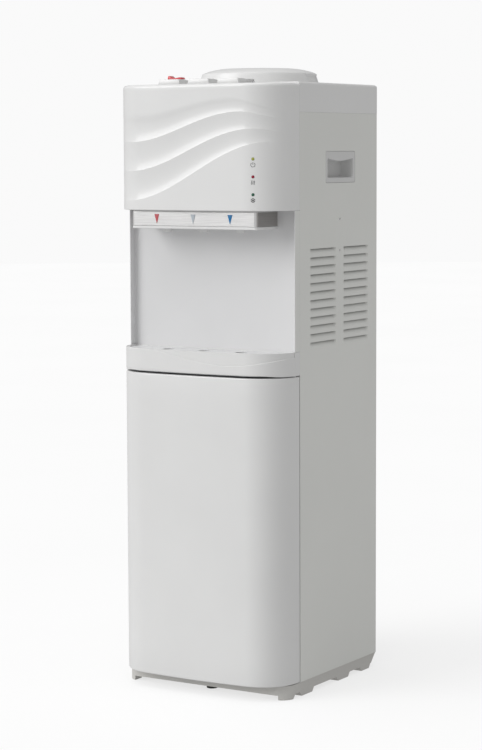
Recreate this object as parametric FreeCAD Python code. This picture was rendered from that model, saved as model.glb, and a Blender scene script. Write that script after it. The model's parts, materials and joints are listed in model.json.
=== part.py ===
import FreeCAD, Part
import math
import os

# Floor-standing water dispenser, millimetres, +Z up, front towards -Y.
# Origin: on the floor, under the centre of the outer box.

# Overall body
WIDTH = 310.0
DEPTH = 331.0
CORNER_RADIUS = 64.0
BOW_RADIUS = 1185.0
FRONT_SETBACK = 2.0

# Heights of the zones, from the floor up
BASE_HEIGHT = 23.7
DOOR_HEIGHT = 487.3
PULL_GAP = 4.0
BEZEL_HEIGHT = 34.7
NICHE_HEIGHT = 220.3
HEAD_HEIGHT = 196.5
COVER_RISE = 2.5
COVER_SIDE_HEIGHT = 47.0

# Walls and clearances
SHEET = 1.0
SHELL = 2.5
SEAM = 0.4
RUNNING = 0.05
SLIDING = 0.3
LOOSE = 1.0

# Front zone, measured back from the foremost point
NICHE_DEPTH = 75.5
DOOR_RETURN = 75.2
DOOR_GAP = 2.0
TAP_BACK = 43.5
RETURN_DEPTH = 13.0

# Base moulding
BASE_INSET = 2.0
BASE_CORNER_RADIUS = 24.0
BASE_FRONT_BACK = 38.5
BASE_SKIRT_LIFT = 7.3
FOOT_LENGTH = 33.0
FOOT_WIDTH = 17.0
CORNER_FOOT_LENGTH = 20.0
FOOT_TAPER = 8.0
REAR_CHAMFER = 22.0
CENTRE_FOOT_RADIUS = 8.0
CENTRE_FOOT_BACK = 60.5

# Door
DOOR_WALL = 2.2
DOOR_EDGE_FILLET = 2.0
PIVOT_INSET = 6.0
PIVOT_PIN_RADIUS = 3.0
PIVOT_PIN_ENGAGE = 8.0
HINGE_PLATE = 2.0
HINGE_PLATE_HALF = 9.0
MAGNET_LENGTH = 44.0
MAGNET_HEIGHT = 12.0
MAGNET_THICKNESS = 4.0

# Drip tray
TRAY_LIP = 5.5
TRAY_LIP_STEP = 0.8
TRAY_WALL = 2.0
GRATE_THICKNESS = 2.0
GRATE_DROP = 2.0
GRATE_HOLE_RADIUS = 9.8
TRAY_FLOOR_DROP = 29.0
SWOOSH_START_INSET = 50.0
SWOOSH_START_RISE = 1.0
SWOOSH_LOW_INSET = 95.0
SWOOSH_LOW_DROP = 20.1
SWOOSH_END_DROP = 7.7

# Taps and their housing
TAP_PITCH = 68.0
TAP_RADIUS = 12.0
TAP_SPOUT_RADIUS = 7.0
TAP_BORE_RADIUS = 3.4
TAP_DROP = 35.0
TAP_RISE = 26.0
TAP_FLANGE = 16.0
HOUSING_HALF = 116.0
HOUSING_BACK = 11.9
HOUSING_DROP = 29.0
HOUSING_CORNER = 5.0
STRIP_HEIGHT = 22.0
STRIP_TOP_DROP = 2.4
STRIP_THICKNESS = 1.2
MARKER_WIDTH = 8.5
MARKER_HEIGHT = 14.5
MARKER_THICKNESS = 0.7

# Head, buttons
HEAD_FILLET = 5.5
LIGHT_RADIUS = 2.4
LIGHT_ANGLE = 70.4
LIGHT_PITCH = 27.3
LIGHT_TOP_DROP = 116.5
LIGHT_REACH = 5.0
BOARD_THICKNESS = 1.6
BUTTON_PITCH = 54.5
BUTTON_WIDTH = 41.0
BUTTON_FRONT_BACK = 28.5
BUTTON_LENGTH = 41.0
BUTTON_THICKNESS = 4.0
BUTTON_RISE = 8.5
BUTTON_SKIRT = 9.0
BUTTON_PIVOT_FROM_BACK = 4.0
BUTTON_PIVOT_DROP = 5.5
AXLE_RADIUS = 1.5
HUB_RADIUS = 3.2
PLINTH_BACK_WALL = 2.5
PLINTH_END_WALL = 2.0
PLINTH_RISE = 7.3
PLINTH_FRONT_SETBACK = 26.0
PLINTH_DEPTH = 16.0
ROD_RADIUS = 3.0
LOCK_LENGTH = 30.0
LOCK_WIDTH = 12.0
LOCK_HEIGHT = 3.5
LOCK_TIP = 5.5
LOCK_TRAVEL = 3.0

# Bottle seat
BOTTLE_FROM_REAR = 116.5
COLLAR_RADIUS = 99.0
COLLAR_SHOULDER_RADIUS = 93.6
COLLAR_FLAT_RADIUS = 58.0
COLLAR_BAND = 17.0
COLLAR_DOME = 8.7
COLLAR_SKIRT_RADIUS = 88.0
COLLAR_SKIRT = 20.0
WELL_RADIUS = 54.0
WELL_NECK_RADIUS = 31.0
WELL_DEPTH = 52.0
PROBE_RADIUS = 7.5
PROBE_RISE = 34.0
PROBE_DROP = 12.0

# Side grips
GRIP_FRONT = -6.0
GRIP_REAR = 90.0
GRIP_DROP = 105.0
GRIP_HEIGHT = 50.0
GRIP_MARGIN_Y = 7.0
GRIP_MARGIN_Z = 11.0
GRIP_FLANGE = 4.0
GRIP_DEPTH = 24.0
GRIP_CORNER = 8.0

# Louvres in the steel sides
LOUVRE_COUNT = 12
LOUVRE_PITCH = 13.4
LOUVRE_TOP_DROP = 61.5
LOUVRE_LENGTH = 77.0
LOUVRE_FRONT = -55.0
LOUVRE_COLUMN_PITCH = 107.5
LOUVRE_SLOT = 8.4
LOUVRE_DEPTH = 4.5
SIDE_SCREW_Y = 40.0
SIDE_SCREW_DROP = 17.0
SIDE_SCREW_PITCH = 49.4
SCREW_RADIUS = 1.5
SCREW_HEAD_RADIUS = 3.0
SCREW_HEAD = 1.0
SCREW_LENGTH = 7.0

# Cooling and heating parts
TANK_RADIUS = 70.0
TANK_HEIGHT = 104.0
TANK_WALL = 1.2
TANK_NECK_RADIUS = 12.0
FOAM_THICKNESS = 20.0
BLOCK_SIZE = 44.0
BLOCK_THICKNESS = 5.0
MODULE_SIZE = 40.0
MODULE_THICKNESS = 4.0
SINK_SIZE = 92.0
SINK_BASE = 4.0
SINK_FIN = 10.0
SINK_FIN_COUNT = 15
SINK_FIN_THICKNESS = 1.2
FAN_SIZE = 92.0
FAN_DEPTH = 15.0
FAN_BORE_RADIUS = 43.0
FAN_BLADE_COUNT = 7
FAN_HUB_RADIUS = 18.0
FAN_SHAFT_RADIUS = 3.0
GRILLE_BAR = 2.0
GRILLE_THICKNESS = 1.6
HOT_TANK_RADIUS = 42.0
HOT_TANK_HEIGHT = 110.0
HOT_TANK_X = -60.0
HOT_TANK_LIFT = 70.0
HEATER_THICKNESS = 3.0
HEATER_HEIGHT = 26.0
HOT_FOAM = 12.0
THERMOSTAT_RADIUS = 8.0
THERMOSTAT_HEIGHT = 9.0
TUBE_RADIUS = 4.5
TUBE_BORE = 3.0

# Rear fittings
FLANGE = 12.0
SWITCH_X = 105.0
SWITCH_PITCH = 26.0
SWITCH_DROP = 70.0
SWITCH_WIDTH = 13.0
SWITCH_HEIGHT = 21.0
SWITCH_ANGLE = 10.0
GLAND_X = 105.0
GLAND_LIFT = 20.0
GLAND_RADIUS = 7.0
GLAND_BORE = 3.6
DRAIN_X = -60.0
DRAIN_PITCH = 40.0
DRAIN_LIFT = 30.0
DRAIN_PIPE_RADIUS = 7.0
DRAIN_PLUG_RADIUS = 11.0
DRAIN_PLUG_DEPTH = 8.0
DRAIN_RECESS = 12.0
POWER_BOARD_WIDTH = 90.0
POWER_BOARD_HEIGHT = 62.0

# Levels and planes that follow from the sizes above
HALF = WIDTH / 2
Y_FRONT = -DEPTH / 2
Y_REAR = DEPTH / 2
BOW_ANGLE = math.asin((HALF - CORNER_RADIUS) / (BOW_RADIUS - CORNER_RADIUS))
CORNER_Y = Y_FRONT + BOW_RADIUS * (1 - math.cos(BOW_ANGLE)) + CORNER_RADIUS * math.cos(BOW_ANGLE)
Z_DOOR = BASE_HEIGHT
Z_DOOR_TOP = Z_DOOR + DOOR_HEIGHT
Z_BEZEL = Z_DOOR_TOP + PULL_GAP
Z_TRAY = Z_BEZEL + BEZEL_HEIGHT
Z_HEAD = Z_TRAY + NICHE_HEIGHT
Z_DECK = Z_HEAD + HEAD_HEIGHT
Z_COVER = Z_DECK + COVER_RISE
Z_SEAM = Z_COVER - COVER_SIDE_HEIGHT
Y_NICHE = Y_FRONT + NICHE_DEPTH
Y_DOOR_BACK = Y_FRONT + DOOR_RETURN
Y_PANEL = Y_DOOR_BACK + DOOR_GAP
Y_TAP = Y_FRONT + TAP_BACK
Y_STRIP = Y_FRONT + HOUSING_BACK
Z_LEDGE = Z_HEAD - HOUSING_DROP
Z_STRIP_TOP = Z_HEAD - STRIP_TOP_DROP
Y_BOTTLE = Y_REAR - BOTTLE_FROM_REAR
Y_FLANGE = Y_REAR - SCREW_HEAD - SHEET
Y_BACK_SHEET = Y_FLANGE - SHEET
TAPS = {"hot": -TAP_PITCH, "room": 0.0, "cold": TAP_PITCH}
BUTTONS = {"hot": -BUTTON_PITCH, "room": 0.0, "cold": BUTTON_PITCH}


def vec(x, y, z):
    return FreeCAD.Vector(x, y, z)


def box(x0, x1, y0, y1, z0, z1):
    return Part.makeBox(x1 - x0, y1 - y0, z1 - z0, vec(x0, y0, z0))


def post(x, y, z0, z1, radius):
    """Upright cylinder."""
    return Part.makeCylinder(radius, z1 - z0, vec(x, y, z0))


def bar_x(x0, x1, y, z, radius):
    """Cylinder lying along X."""
    return Part.makeCylinder(radius, x1 - x0, vec(x0, y, z), vec(1, 0, 0))


def bar_y(x, y0, y1, z, radius):
    """Cylinder lying along Y."""
    return Part.makeCylinder(radius, y1 - y0, vec(x, y0, z), vec(0, 1, 0))


def join(shapes):
    """One solid from touching or crossing shapes."""
    first = shapes[0]
    return first.multiFuse(shapes[1:]).removeSplitter()


def cut(shape, tools):
    return shape.cut(Part.makeCompound(tools)) if tools else shape


def mirror_x(shape):
    return shape.mirror(vec(0, 0, 0), vec(1, 0, 0))


def prism(points, direction):
    """Extruded polygon."""
    wire = Part.makePolygon(points + [points[0]])
    return Part.Face(wire).extrude(direction)


def turned(profile, x, y):
    """Solid of revolution about the upright line through x, y; the profile holds (radius, z) pairs."""
    points = [vec(x + r, y, z) for r, z in profile]
    wire = Part.makePolygon(points + [points[0]])
    return Part.Face(wire).revolve(vec(x, y, 0), vec(0, 0, 1), 360)


def plan_point(side, angle, inset, setback):
    """Point on a rounded front corner; the angle runs from the side (0) to the front."""
    radius = CORNER_RADIUS - inset
    x = HALF - CORNER_RADIUS + radius * math.cos(angle)
    y = CORNER_Y + setback - radius * math.sin(angle)
    return vec(side * x, y, 0)


def plan_prism(inset, y_back, z0, z1, setback=0.0):
    """Body outline, bowed at the front with rounded corners, moved in by inset and closed at y_back."""
    end = math.pi / 2 - BOW_ANGLE
    right = [plan_point(1, a, inset, setback) for a in (0, end / 2, end)]
    left = [plan_point(-1, a, inset, setback) for a in (end, end / 2, 0)]
    front = vec(0, Y_FRONT + setback + inset, 0)
    y_close = max(y_back, CORNER_Y + setback + SEAM)
    rear_right = vec(HALF - inset, y_close, 0)
    rear_left = vec(inset - HALF, y_close, 0)
    edges = [
        Part.makeLine(rear_right, right[0]),
        Part.Arc(right[0], right[1], right[2]).toShape(),
        Part.Arc(right[2], front, left[0]).toShape(),
        Part.Arc(left[0], left[1], left[2]).toShape(),
        Part.makeLine(left[2], rear_left),
        Part.makeLine(rear_left, rear_right),
    ]
    face = Part.Face(Part.Wire(edges))
    face.translate(vec(0, 0, z0))
    block = face.extrude(vec(0, 0, z1 - z0))
    if y_close > y_back:
        return block.common(box(-HALF, HALF, Y_FRONT, y_back, z0, z1))
    return block


def plan_shell(wall, y_back, z0, z1, setback=0.0, inset=0.0):
    """Upright wall that follows the body outline, open at the back."""
    outer = plan_prism(inset, y_back, z0, z1, setback)
    inner = plan_prism(inset + wall, y_back + LOOSE, z0 - LOOSE, z1 + LOOSE, setback)
    return outer.cut(inner)


# ---- base and cabinet ----

def base_plan():
    """Plan of the base moulding: straight sides, front set back under the door."""
    y0 = Y_FRONT + BASE_FRONT_BACK
    x = HALF - BASE_INSET
    return y0, x


def base_block(inset, z0, z1):
    """Block on the base's plan, moved in by inset, with rounded front corners."""
    y0, x = base_plan()
    block = box(inset - x, x - inset, y0 + inset, Y_REAR - inset, z0, z1)
    corners = [e for e in block.Edges if e.BoundBox.ZLength > LOOSE and e.BoundBox.YMin < y0 + inset + LOOSE]
    return block.makeFillet(BASE_CORNER_RADIUS - inset, corners)


def foot_block(x0, x1, y0, y1):
    """Foot with sloping front and rear flanks."""
    t = FOOT_TAPER
    points = [vec(x0, y0, 0), vec(x0, y1, 0), vec(x0, y1 + t, BASE_SKIRT_LIFT + SHELL),
              vec(x0, y0 - t, BASE_SKIRT_LIFT + SHELL)]
    return prism(points, vec(x1 - x0, 0, 0))


def base_tray():
    y0, x = base_plan()
    top = BASE_HEIGHT
    body = base_block(0, BASE_SKIRT_LIFT, top)
    hollow = base_block(SHELL, 0, top - SHELL)
    door_relief = box(-HALF, HALF, y0 - LOOSE, Y_PANEL, top - LOOSE, top + LOOSE)
    shell = body.cut(hollow).cut(door_relief)
    feet = []
    for side in (-1, 1):
        inner, outer = sorted((side * (x - FOOT_WIDTH), side * x))
        feet.append(foot_block(inner, outer, y0 + FOOT_TAPER / 4, y0 + CORNER_FOOT_LENGTH))
        feet.append(foot_block(inner, outer, Y_PANEL + FOOT_TAPER, Y_PANEL + FOOT_TAPER + FOOT_LENGTH))
        middle = (Y_PANEL + Y_REAR) / 2
        feet.append(foot_block(inner, outer, middle, middle + FOOT_LENGTH))
        rear = Y_REAR - REAR_CHAMFER
        feet.append(foot_block(inner, outer, rear - FOOT_LENGTH + FOOT_TAPER, rear))
    boss_y = Y_FRONT + CENTRE_FOOT_BACK
    boss = post(0, boss_y, BASE_SKIRT_LIFT, top - SHELL, CENTRE_FOOT_RADIUS + SHELL)
    socket = post(0, boss_y, 0, BASE_SKIRT_LIFT + SHELL, CENTRE_FOOT_RADIUS)
    chamfer = prism([vec(-HALF, Y_REAR + LOOSE, -LOOSE), vec(-HALF, Y_REAR + LOOSE, REAR_CHAMFER + LOOSE),
                     vec(-HALF, Y_REAR - REAR_CHAMFER, -LOOSE)], vec(WIDTH, 0, 0))
    solid = join([shell, boss] + feet).common(base_block(0, 0, top))
    solid = solid.cut(Part.makeCompound([socket, chamfer]))
    rear_floor = box(-x, x, Y_REAR - REAR_CHAMFER - SHELL, Y_REAR, top - SHELL, top)
    pin_x, pin_y = pivot_place()
    return join([solid, rear_floor]).cut(post(pin_x, pin_y, 0, top, PIVOT_PIN_RADIUS))


def rubber_foot():
    y = Y_FRONT + CENTRE_FOOT_BACK
    pad = post(0, y, 0, BASE_SKIRT_LIFT - SLIDING, CENTRE_FOOT_RADIUS + 1.0)
    stem = post(0, y, 0, BASE_SKIRT_LIFT + SHELL, CENTRE_FOOT_RADIUS - RUNNING)
    return join([pad, stem])


def louvre_rows():
    """Front edge, top level of each pressed slot in one side panel."""
    rows = []
    for column in range(2):
        y0 = LOUVRE_FRONT + column * LOUVRE_COLUMN_PITCH
        for row in range(LOUVRE_COUNT):
            rows.append((y0, Z_HEAD - LOUVRE_TOP_DROP - row * LOUVRE_PITCH))
    return rows


def louvre_slot(y0, z_top):
    return box(HALF - 2 * SHEET, HALF + LOOSE, y0, y0 + LOUVRE_LENGTH, z_top - LOUVRE_SLOT, z_top)


def louvre_blade(y0, z_top):
    """Blade leaning inward at its top edge and flush at its foot, with a cheek at each end."""
    x = HALF
    z0 = z_top - LOUVRE_SLOT
    lean = [vec(x, y0, z0), vec(x - SHEET, y0, z0), vec(x - SHEET - LOUVRE_DEPTH, y0, z_top - SHEET),
            vec(x - LOUVRE_DEPTH, y0, z_top - SHEET)]
    blade = prism(lean, vec(0, LOUVRE_LENGTH, 0))
    cheek = [vec(x, y0, z0), vec(x - SHEET - LOUVRE_DEPTH, y0, z_top - SHEET),
             vec(x - SHEET, y0, z_top), vec(x, y0, z_top)]
    front = prism(cheek, vec(0, SHEET, 0))
    rear = front.translated(vec(0, LOUVRE_LENGTH - SHEET, 0))
    return [blade, front, rear]


def side_screw_levels():
    top = Z_HEAD - SIDE_SCREW_DROP
    return [top, top - SIDE_SCREW_PITCH]


def grip_window(grow_y, grow_z, x0, x1):
    """Rounded upright block through the side at the grip's place, larger by grow on each edge."""
    z1 = Z_DECK - GRIP_DROP + grow_z
    z0 = Z_DECK - GRIP_DROP - GRIP_HEIGHT - grow_z
    block = box(x0, x1, GRIP_FRONT - grow_y, GRIP_REAR + grow_y, z0, z1)
    corners = [e for e in block.Edges if abs(e.tangentAt(e.FirstParameter).x) > 0.99]
    return block.makeFillet(GRIP_CORNER + min(grow_y, grow_z) / 2, corners)


def right_side_panel():
    skin = box(HALF - SHEET, HALF, Y_PANEL, Y_FLANGE + SHEET, BASE_HEIGHT, Z_SEAM)
    flange = box(HALF - FLANGE, HALF, Y_FLANGE, Y_FLANGE + SHEET, BASE_HEIGHT, Z_SEAM)
    foot = box(HALF - FLANGE, HALF, Y_PANEL + DOOR_GAP, Y_BACK_SHEET - SLIDING,
               BASE_HEIGHT, BASE_HEIGHT + SHEET)
    panel = join([skin, flange, foot])
    holes = [louvre_slot(y, z) for y, z in louvre_rows()]
    holes.append(grip_window(SLIDING, SLIDING, HALF - 2 * SHEET, HALF + LOOSE))
    holes += [bar_x(HALF - 2 * SHEET, HALF + LOOSE, SIDE_SCREW_Y, z, SCREW_RADIUS + RUNNING)
              for z in side_screw_levels()]
    holes += [bar_y(x, Y_FLANGE - LOOSE, Y_FLANGE + 2 * SHEET, z, SCREW_RADIUS + RUNNING)
              for x, z in rear_screw_places() if x > 0]
    panel = cut(panel, holes)
    blades = []
    for y, z in louvre_rows():
        blades += louvre_blade(y, z)
    return join([panel] + blades)


def left_side_panel():
    return mirror_x(right_side_panel())


def rear_screw_places():
    x = HALF - FLANGE / 2 - 0.5
    levels = [Z_DOOR + 60.0, Z_BEZEL + 40.0, Z_HEAD - 20.0, Z_SEAM - 30.0]
    return [(side * x, z) for side in (-1, 1) for z in levels]


def case_screws():
    """Pan-head screws in the rear flanges and the sides."""
    screws = []
    for x, z in rear_screw_places():
        head = bar_y(x, Y_FLANGE + SHEET, Y_REAR, z, SCREW_HEAD_RADIUS)
        shank = bar_y(x, Y_FLANGE - SCREW_LENGTH, Y_REAR - SCREW_HEAD / 2, z, SCREW_RADIUS)
        screws.append(join([head, shank]))
    for side in (-1, 1):
        for z in side_screw_levels():
            head = bar_x(HALF - SHEET - SCREW_HEAD, HALF - SHEET, SIDE_SCREW_Y, z, SCREW_HEAD_RADIUS)
            shank = bar_x(HALF - SHEET - SCREW_LENGTH, HALF - 0.2, SIDE_SCREW_Y, z, SCREW_RADIUS)
            screw = join([head, shank])
            screws.append(screw if side > 0 else mirror_x(screw))
    return Part.makeCompound(screws)


def switch_places():
    z = Z_HEAD - SWITCH_DROP
    return {"hot": (-SWITCH_X, z), "cold": (SWITCH_PITCH - SWITCH_X, z)}


def drain_places():
    z = Z_BEZEL + DRAIN_LIFT
    return {"hot": (DRAIN_X, z), "cold": (DRAIN_X + DRAIN_PITCH, z)}


def rear_panel():
    x = HALF - SHEET - SLIDING
    sheet = box(-x, x, Y_BACK_SHEET, Y_FLANGE, BASE_HEIGHT, Z_SEAM)
    tools = [bar_y(0, Y_BACK_SHEET - LOOSE, Y_REAR, fan_level(), FAN_BORE_RADIUS)]
    tools += [bar_y(px, Y_BACK_SHEET - LOOSE, Y_REAR, pz, SCREW_RADIUS + RUNNING)
              for px, pz in rear_screw_places()]
    for px, pz in switch_places().values():
        half_w = SWITCH_WIDTH / 2 + 1.5
        half_h = SWITCH_HEIGHT / 2 + 1.5
        tools.append(box(px - half_w, px + half_w, Y_BACK_SHEET - LOOSE, Y_REAR, pz - half_h, pz + half_h))
    for px, pz in drain_places().values():
        tools.append(bar_y(px, Y_BACK_SHEET - LOOSE, Y_REAR, pz, DRAIN_PLUG_RADIUS + LOOSE))
    tools.append(bar_y(GLAND_X, Y_BACK_SHEET - LOOSE, Y_REAR, Z_BEZEL + GLAND_LIFT, GLAND_RADIUS + RUNNING))
    return cut(sheet, tools)


def mid_shelf():
    """Folded steel shelf over the cabinet, welded to the door catch and the stand of the hot tank.

    Its hinge tab carries the upper pin of the door.
    """
    x = HALF - SHEET - SLIDING
    plate = box(-x, x, Y_PANEL, Y_BACK_SHEET, Z_BEZEL - PULL_GAP, Z_BEZEL - PULL_GAP + SHEET)
    lips = [box(side_x, side_x + SHEET, Y_PANEL, Y_BACK_SHEET, Z_BEZEL - PULL_GAP - FLANGE, Z_BEZEL)
            for side_x in (-x, x - SHEET)]
    front = plan_prism(SHELL + SLIDING, Y_PANEL + LOOSE, Z_BEZEL - SHEET, Z_BEZEL, FRONT_SETBACK)
    riser = box(-x + SHEET, x - SHEET, Y_PANEL, Y_PANEL + SHEET, Z_BEZEL - PULL_GAP, Z_BEZEL)
    pin_x, pin_y = pivot_place()
    drop = box(pin_x - HINGE_PLATE_HALF, HALF - SHELL - SLIDING, pin_y - HINGE_PLATE_HALF, Y_PANEL,
               Z_DOOR_TOP + LOOSE, Z_BEZEL - SHEET)
    shelf = join([plate, front, riser, drop] + lips + [catch_plate(), hot_stand()])
    tools = [post(pin_x, pin_y, Z_DOOR_TOP - LOOSE, Z_BEZEL + LOOSE, PIVOT_PIN_RADIUS)]
    return cut(shelf, tools)


def pivot_place():
    return HALF - PIVOT_INSET, Y_DOOR_BACK - PIVOT_INSET


def hinge_pins():
    """Lower pin standing on the base, upper pin hanging from the shelf."""
    x, y = pivot_place()
    lower = post(x, y, BASE_HEIGHT - SHELL - HINGE_PLATE, Z_DOOR + PIVOT_PIN_ENGAGE, PIVOT_PIN_RADIUS)
    upper = post(x, y, Z_DOOR_TOP - PIVOT_PIN_ENGAGE, Z_BEZEL, PIVOT_PIN_RADIUS)
    return Part.makeCompound([lower, upper])


def cabinet_back():
    x = HALF - FLANGE - SLIDING
    y = Y_BACK_SHEET - 2.0
    sheet = box(-x, x, y, y + SHEET, BASE_HEIGHT, Z_BEZEL - PULL_GAP)
    foot = box(-x, x, y - FLANGE, y + SHEET, BASE_HEIGHT, BASE_HEIGHT + SHEET)
    return join([sheet, foot])


# ---- door ----

def door_outer():
    """Moulded door: skin, top and bottom walls, and a bored block around each hinge pin."""
    z0, z1 = Z_DOOR, Z_DOOR_TOP
    solid = plan_prism(0, Y_DOOR_BACK, z0, z1, FRONT_SETBACK)
    front_edges = [e for e in solid.Edges if rim_edge(e, z0, z1, Y_DOOR_BACK)]
    solid = solid.makeFillet(DOOR_EDGE_FILLET, front_edges)
    hollow = plan_prism(DOOR_WALL, Y_DOOR_BACK + LOOSE, z0 + DOOR_WALL, z1 - DOOR_WALL, FRONT_SETBACK)
    shell = solid.cut(hollow)
    x, y = pivot_place()
    reach = PIVOT_PIN_ENGAGE + DOOR_WALL
    back = Y_DOOR_BACK - DOOR_WALL - SEAM
    blocks = [box(x - PIVOT_INSET, HALF - DOOR_WALL / 2, y - PIVOT_INSET, back, a, b)
              for a, b in ((z0, z0 + reach), (z1 - reach, z1))]
    bore = post(x, y, z0 - LOOSE, z1 + LOOSE, PIVOT_PIN_RADIUS + RUNNING)
    return join([shell] + blocks).cut(bore)


def rim_edge(edge, z0, z1, y_back):
    """True for an edge along the top or bottom outline in front of y_back."""
    bounds = edge.BoundBox
    flat = bounds.ZLength < 0.01
    level = min(abs(bounds.ZMin - z0), abs(bounds.ZMin - z1)) < 0.01
    return flat and level and bounds.YMin < y_back - 0.01


def door_inner():
    """Flat inner panel with a raised border, set into the rear of the door."""
    wall = DOOR_WALL + SEAM
    x = HALF - wall
    panel = box(-x, x, Y_DOOR_BACK - DOOR_WALL, Y_DOOR_BACK, Z_DOOR + wall, Z_DOOR_TOP - wall)
    field = box(-x + 20, x - 20, Y_DOOR_BACK - DOOR_WALL / 2, Y_DOOR_BACK + LOOSE,
                Z_DOOR + wall + 20, Z_DOOR_TOP - wall - 20)
    magnet_seat = magnet_block(SLIDING)
    return panel.cut(Part.makeCompound([field, magnet_seat]))


def magnet_block(grow):
    x0 = -HALF + DOOR_WALL + SEAM + 3.0
    z1 = Z_DOOR_TOP - DOOR_WALL - SEAM - 3.0
    return box(x0 - grow, x0 + MAGNET_LENGTH + grow, Y_DOOR_BACK - MAGNET_THICKNESS, Y_DOOR_BACK + grow,
               z1 - MAGNET_HEIGHT - grow, z1 + grow)


def door_magnet():
    return magnet_block(0)


def catch_plate():
    """Steel strip on the cabinet that the door's magnet holds."""
    x0 = -HALF + DOOR_WALL + SEAM + 3.0
    z1 = Z_DOOR_TOP - DOOR_WALL - SEAM - 3.0
    face = box(x0, x0 + MAGNET_LENGTH, Y_DOOR_BACK + SLIDING, Y_DOOR_BACK + SLIDING + SHEET,
               z1 - MAGNET_HEIGHT, z1)
    web = box(x0, x0 + MAGNET_LENGTH, Y_DOOR_BACK + SLIDING, Y_PANEL + FLANGE, z1 - SHEET, z1)
    tab = box(x0, x0 + MAGNET_LENGTH, Y_PANEL + FLANGE - SHEET, Y_PANEL + FLANGE, z1 - SHEET,
              Z_BEZEL - PULL_GAP)
    return join([face, web, tab])


# ---- drip tray ----

def swoosh_drop(x):
    """How far the tray's lower edge lies below its rim at x; it starts a little above the rim."""
    start = SWOOSH_START_INSET - HALF
    low = HALF - SWOOSH_LOW_INSET
    if x <= low:
        share = (x - start) / (low - start)
        sweep = (1 - math.cos(math.pi * share)) / 2
        return (SWOOSH_LOW_DROP + SWOOSH_START_RISE) * sweep - SWOOSH_START_RISE
    share = (x - low) / SWOOSH_LOW_INSET
    return SWOOSH_LOW_DROP - (SWOOSH_LOW_DROP - SWOOSH_END_DROP) * share * share


def swoosh_block(lift):
    """Block over the swoosh edge, its lower face raised by lift."""
    count = 12
    first = SWOOSH_START_INSET - HALF
    step = (HALF - first) / count
    xs = [first + i * step for i in range(count + 1)]
    points = [vec(x, Y_FRONT - 5, Z_TRAY + lift - swoosh_drop(x)) for x in xs]
    curve = Part.BSplineCurve()
    curve.interpolate(points)
    start, end = points[0], points[-1]
    top = Z_TRAY + 20
    edges = [curve.toShape(),
             Part.makeLine(end, vec(end.x + 10, end.y, end.z)),
             Part.makeLine(vec(end.x + 10, end.y, end.z), vec(end.x + 10, end.y, top)),
             Part.makeLine(vec(end.x + 10, end.y, top), vec(start.x, end.y, top)),
             Part.makeLine(vec(start.x, end.y, top), start)]
    return Part.Face(Part.Wire(edges)).extrude(vec(0, DEPTH / 2, 0))


def tray_bezel():
    """Apron under the drip tray: a wall on the body outline with an inward foot."""
    wall = plan_shell(SHELL, Y_DOOR_BACK, Z_BEZEL, Z_TRAY, FRONT_SETBACK)
    foot = plan_shell(SHELL * 4, Y_DOOR_BACK, Z_BEZEL, Z_BEZEL + TRAY_WALL, FRONT_SETBACK)
    rear = box(-HALF + SHELL * 2, HALF - SHELL * 2, Y_DOOR_BACK - SHELL * 2, Y_DOOR_BACK,
               Z_BEZEL, Z_BEZEL + TRAY_WALL)
    return join([wall.cut(swoosh_block(-SEAM)), foot, rear])


def drip_tray():
    """Pan inside the apron, with a front lip that comes out flush over the swoosh edge."""
    inset = SHELL + SEAM
    floor = Z_TRAY - TRAY_FLOOR_DROP
    back = Y_NICHE - SEAM
    pan = plan_prism(inset, back, floor, Z_TRAY, FRONT_SETBACK)
    lip = plan_prism(TRAY_LIP_STEP, back, Z_TRAY - SWOOSH_LOW_DROP - 1, Z_TRAY, FRONT_SETBACK)
    in_front = box(-HALF, HALF, Y_FRONT, Y_NICHE - RETURN_DEPTH - SEAM, 0, Z_DECK)
    lip = lip.common(swoosh_block(0)).common(in_front)
    grate_level = Z_TRAY - GRATE_DROP - GRATE_THICKNESS
    seat = plan_prism(TRAY_LIP, back - TRAY_WALL, grate_level, Z_TRAY + LOOSE, FRONT_SETBACK)
    pocket = plan_prism(TRAY_LIP + TRAY_WALL, back - 2 * TRAY_WALL, floor + TRAY_WALL,
                        Z_TRAY + LOOSE, FRONT_SETBACK)
    return join([pan, lip]).cut(Part.makeCompound([seat, pocket]))


def drip_grate():
    top = Z_TRAY - GRATE_DROP
    plate = plan_prism(TRAY_LIP + SLIDING, Y_NICHE - SEAM - TRAY_WALL - SLIDING,
                       top - GRATE_THICKNESS, top, FRONT_SETBACK)
    holes = [post(x, Y_TAP, top - 2 * GRATE_THICKNESS, top + LOOSE, GRATE_HOLE_RADIUS)
             for x in TAPS.values()]
    return cut(plate, holes)


# ---- niche ----

def niche_panel():
    """Back of the niche with short returns that meet the steel sides."""
    inner = HALF - SHELL - SEAM
    back = box(-inner, inner, Y_NICHE, Y_NICHE + SHELL, Z_BEZEL, Z_HEAD)
    zone = box(-HALF, HALF, Y_NICHE - RETURN_DEPTH, Y_DOOR_BACK + SHEET, Z_TRAY + SEAM, Z_HEAD)
    returns = plan_shell(SHELL + SEAM, Y_DOOR_BACK + SHEET, Z_TRAY, Z_HEAD).common(zone)
    wide = box(-HALF + SHEET, HALF - SHEET, Y_NICHE, Y_NICHE + SHELL, Z_TRAY + SEAM, Z_HEAD)
    return join([back, wide, returns])


def housing_plan(inset, z0, z1):
    """Outline of the tap housing: flat front, rounded front corners, open to the niche panel."""
    x = HOUSING_HALF - inset
    y = Y_STRIP + inset
    block = box(-x, x, y, Y_NICHE, z0, z1)
    radius = HOUSING_CORNER - inset
    corners = [e for e in block.Edges if e.BoundBox.ZLength > 1 and e.BoundBox.YMin < y + 0.01]
    return block.makeFillet(radius, corners)


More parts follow.
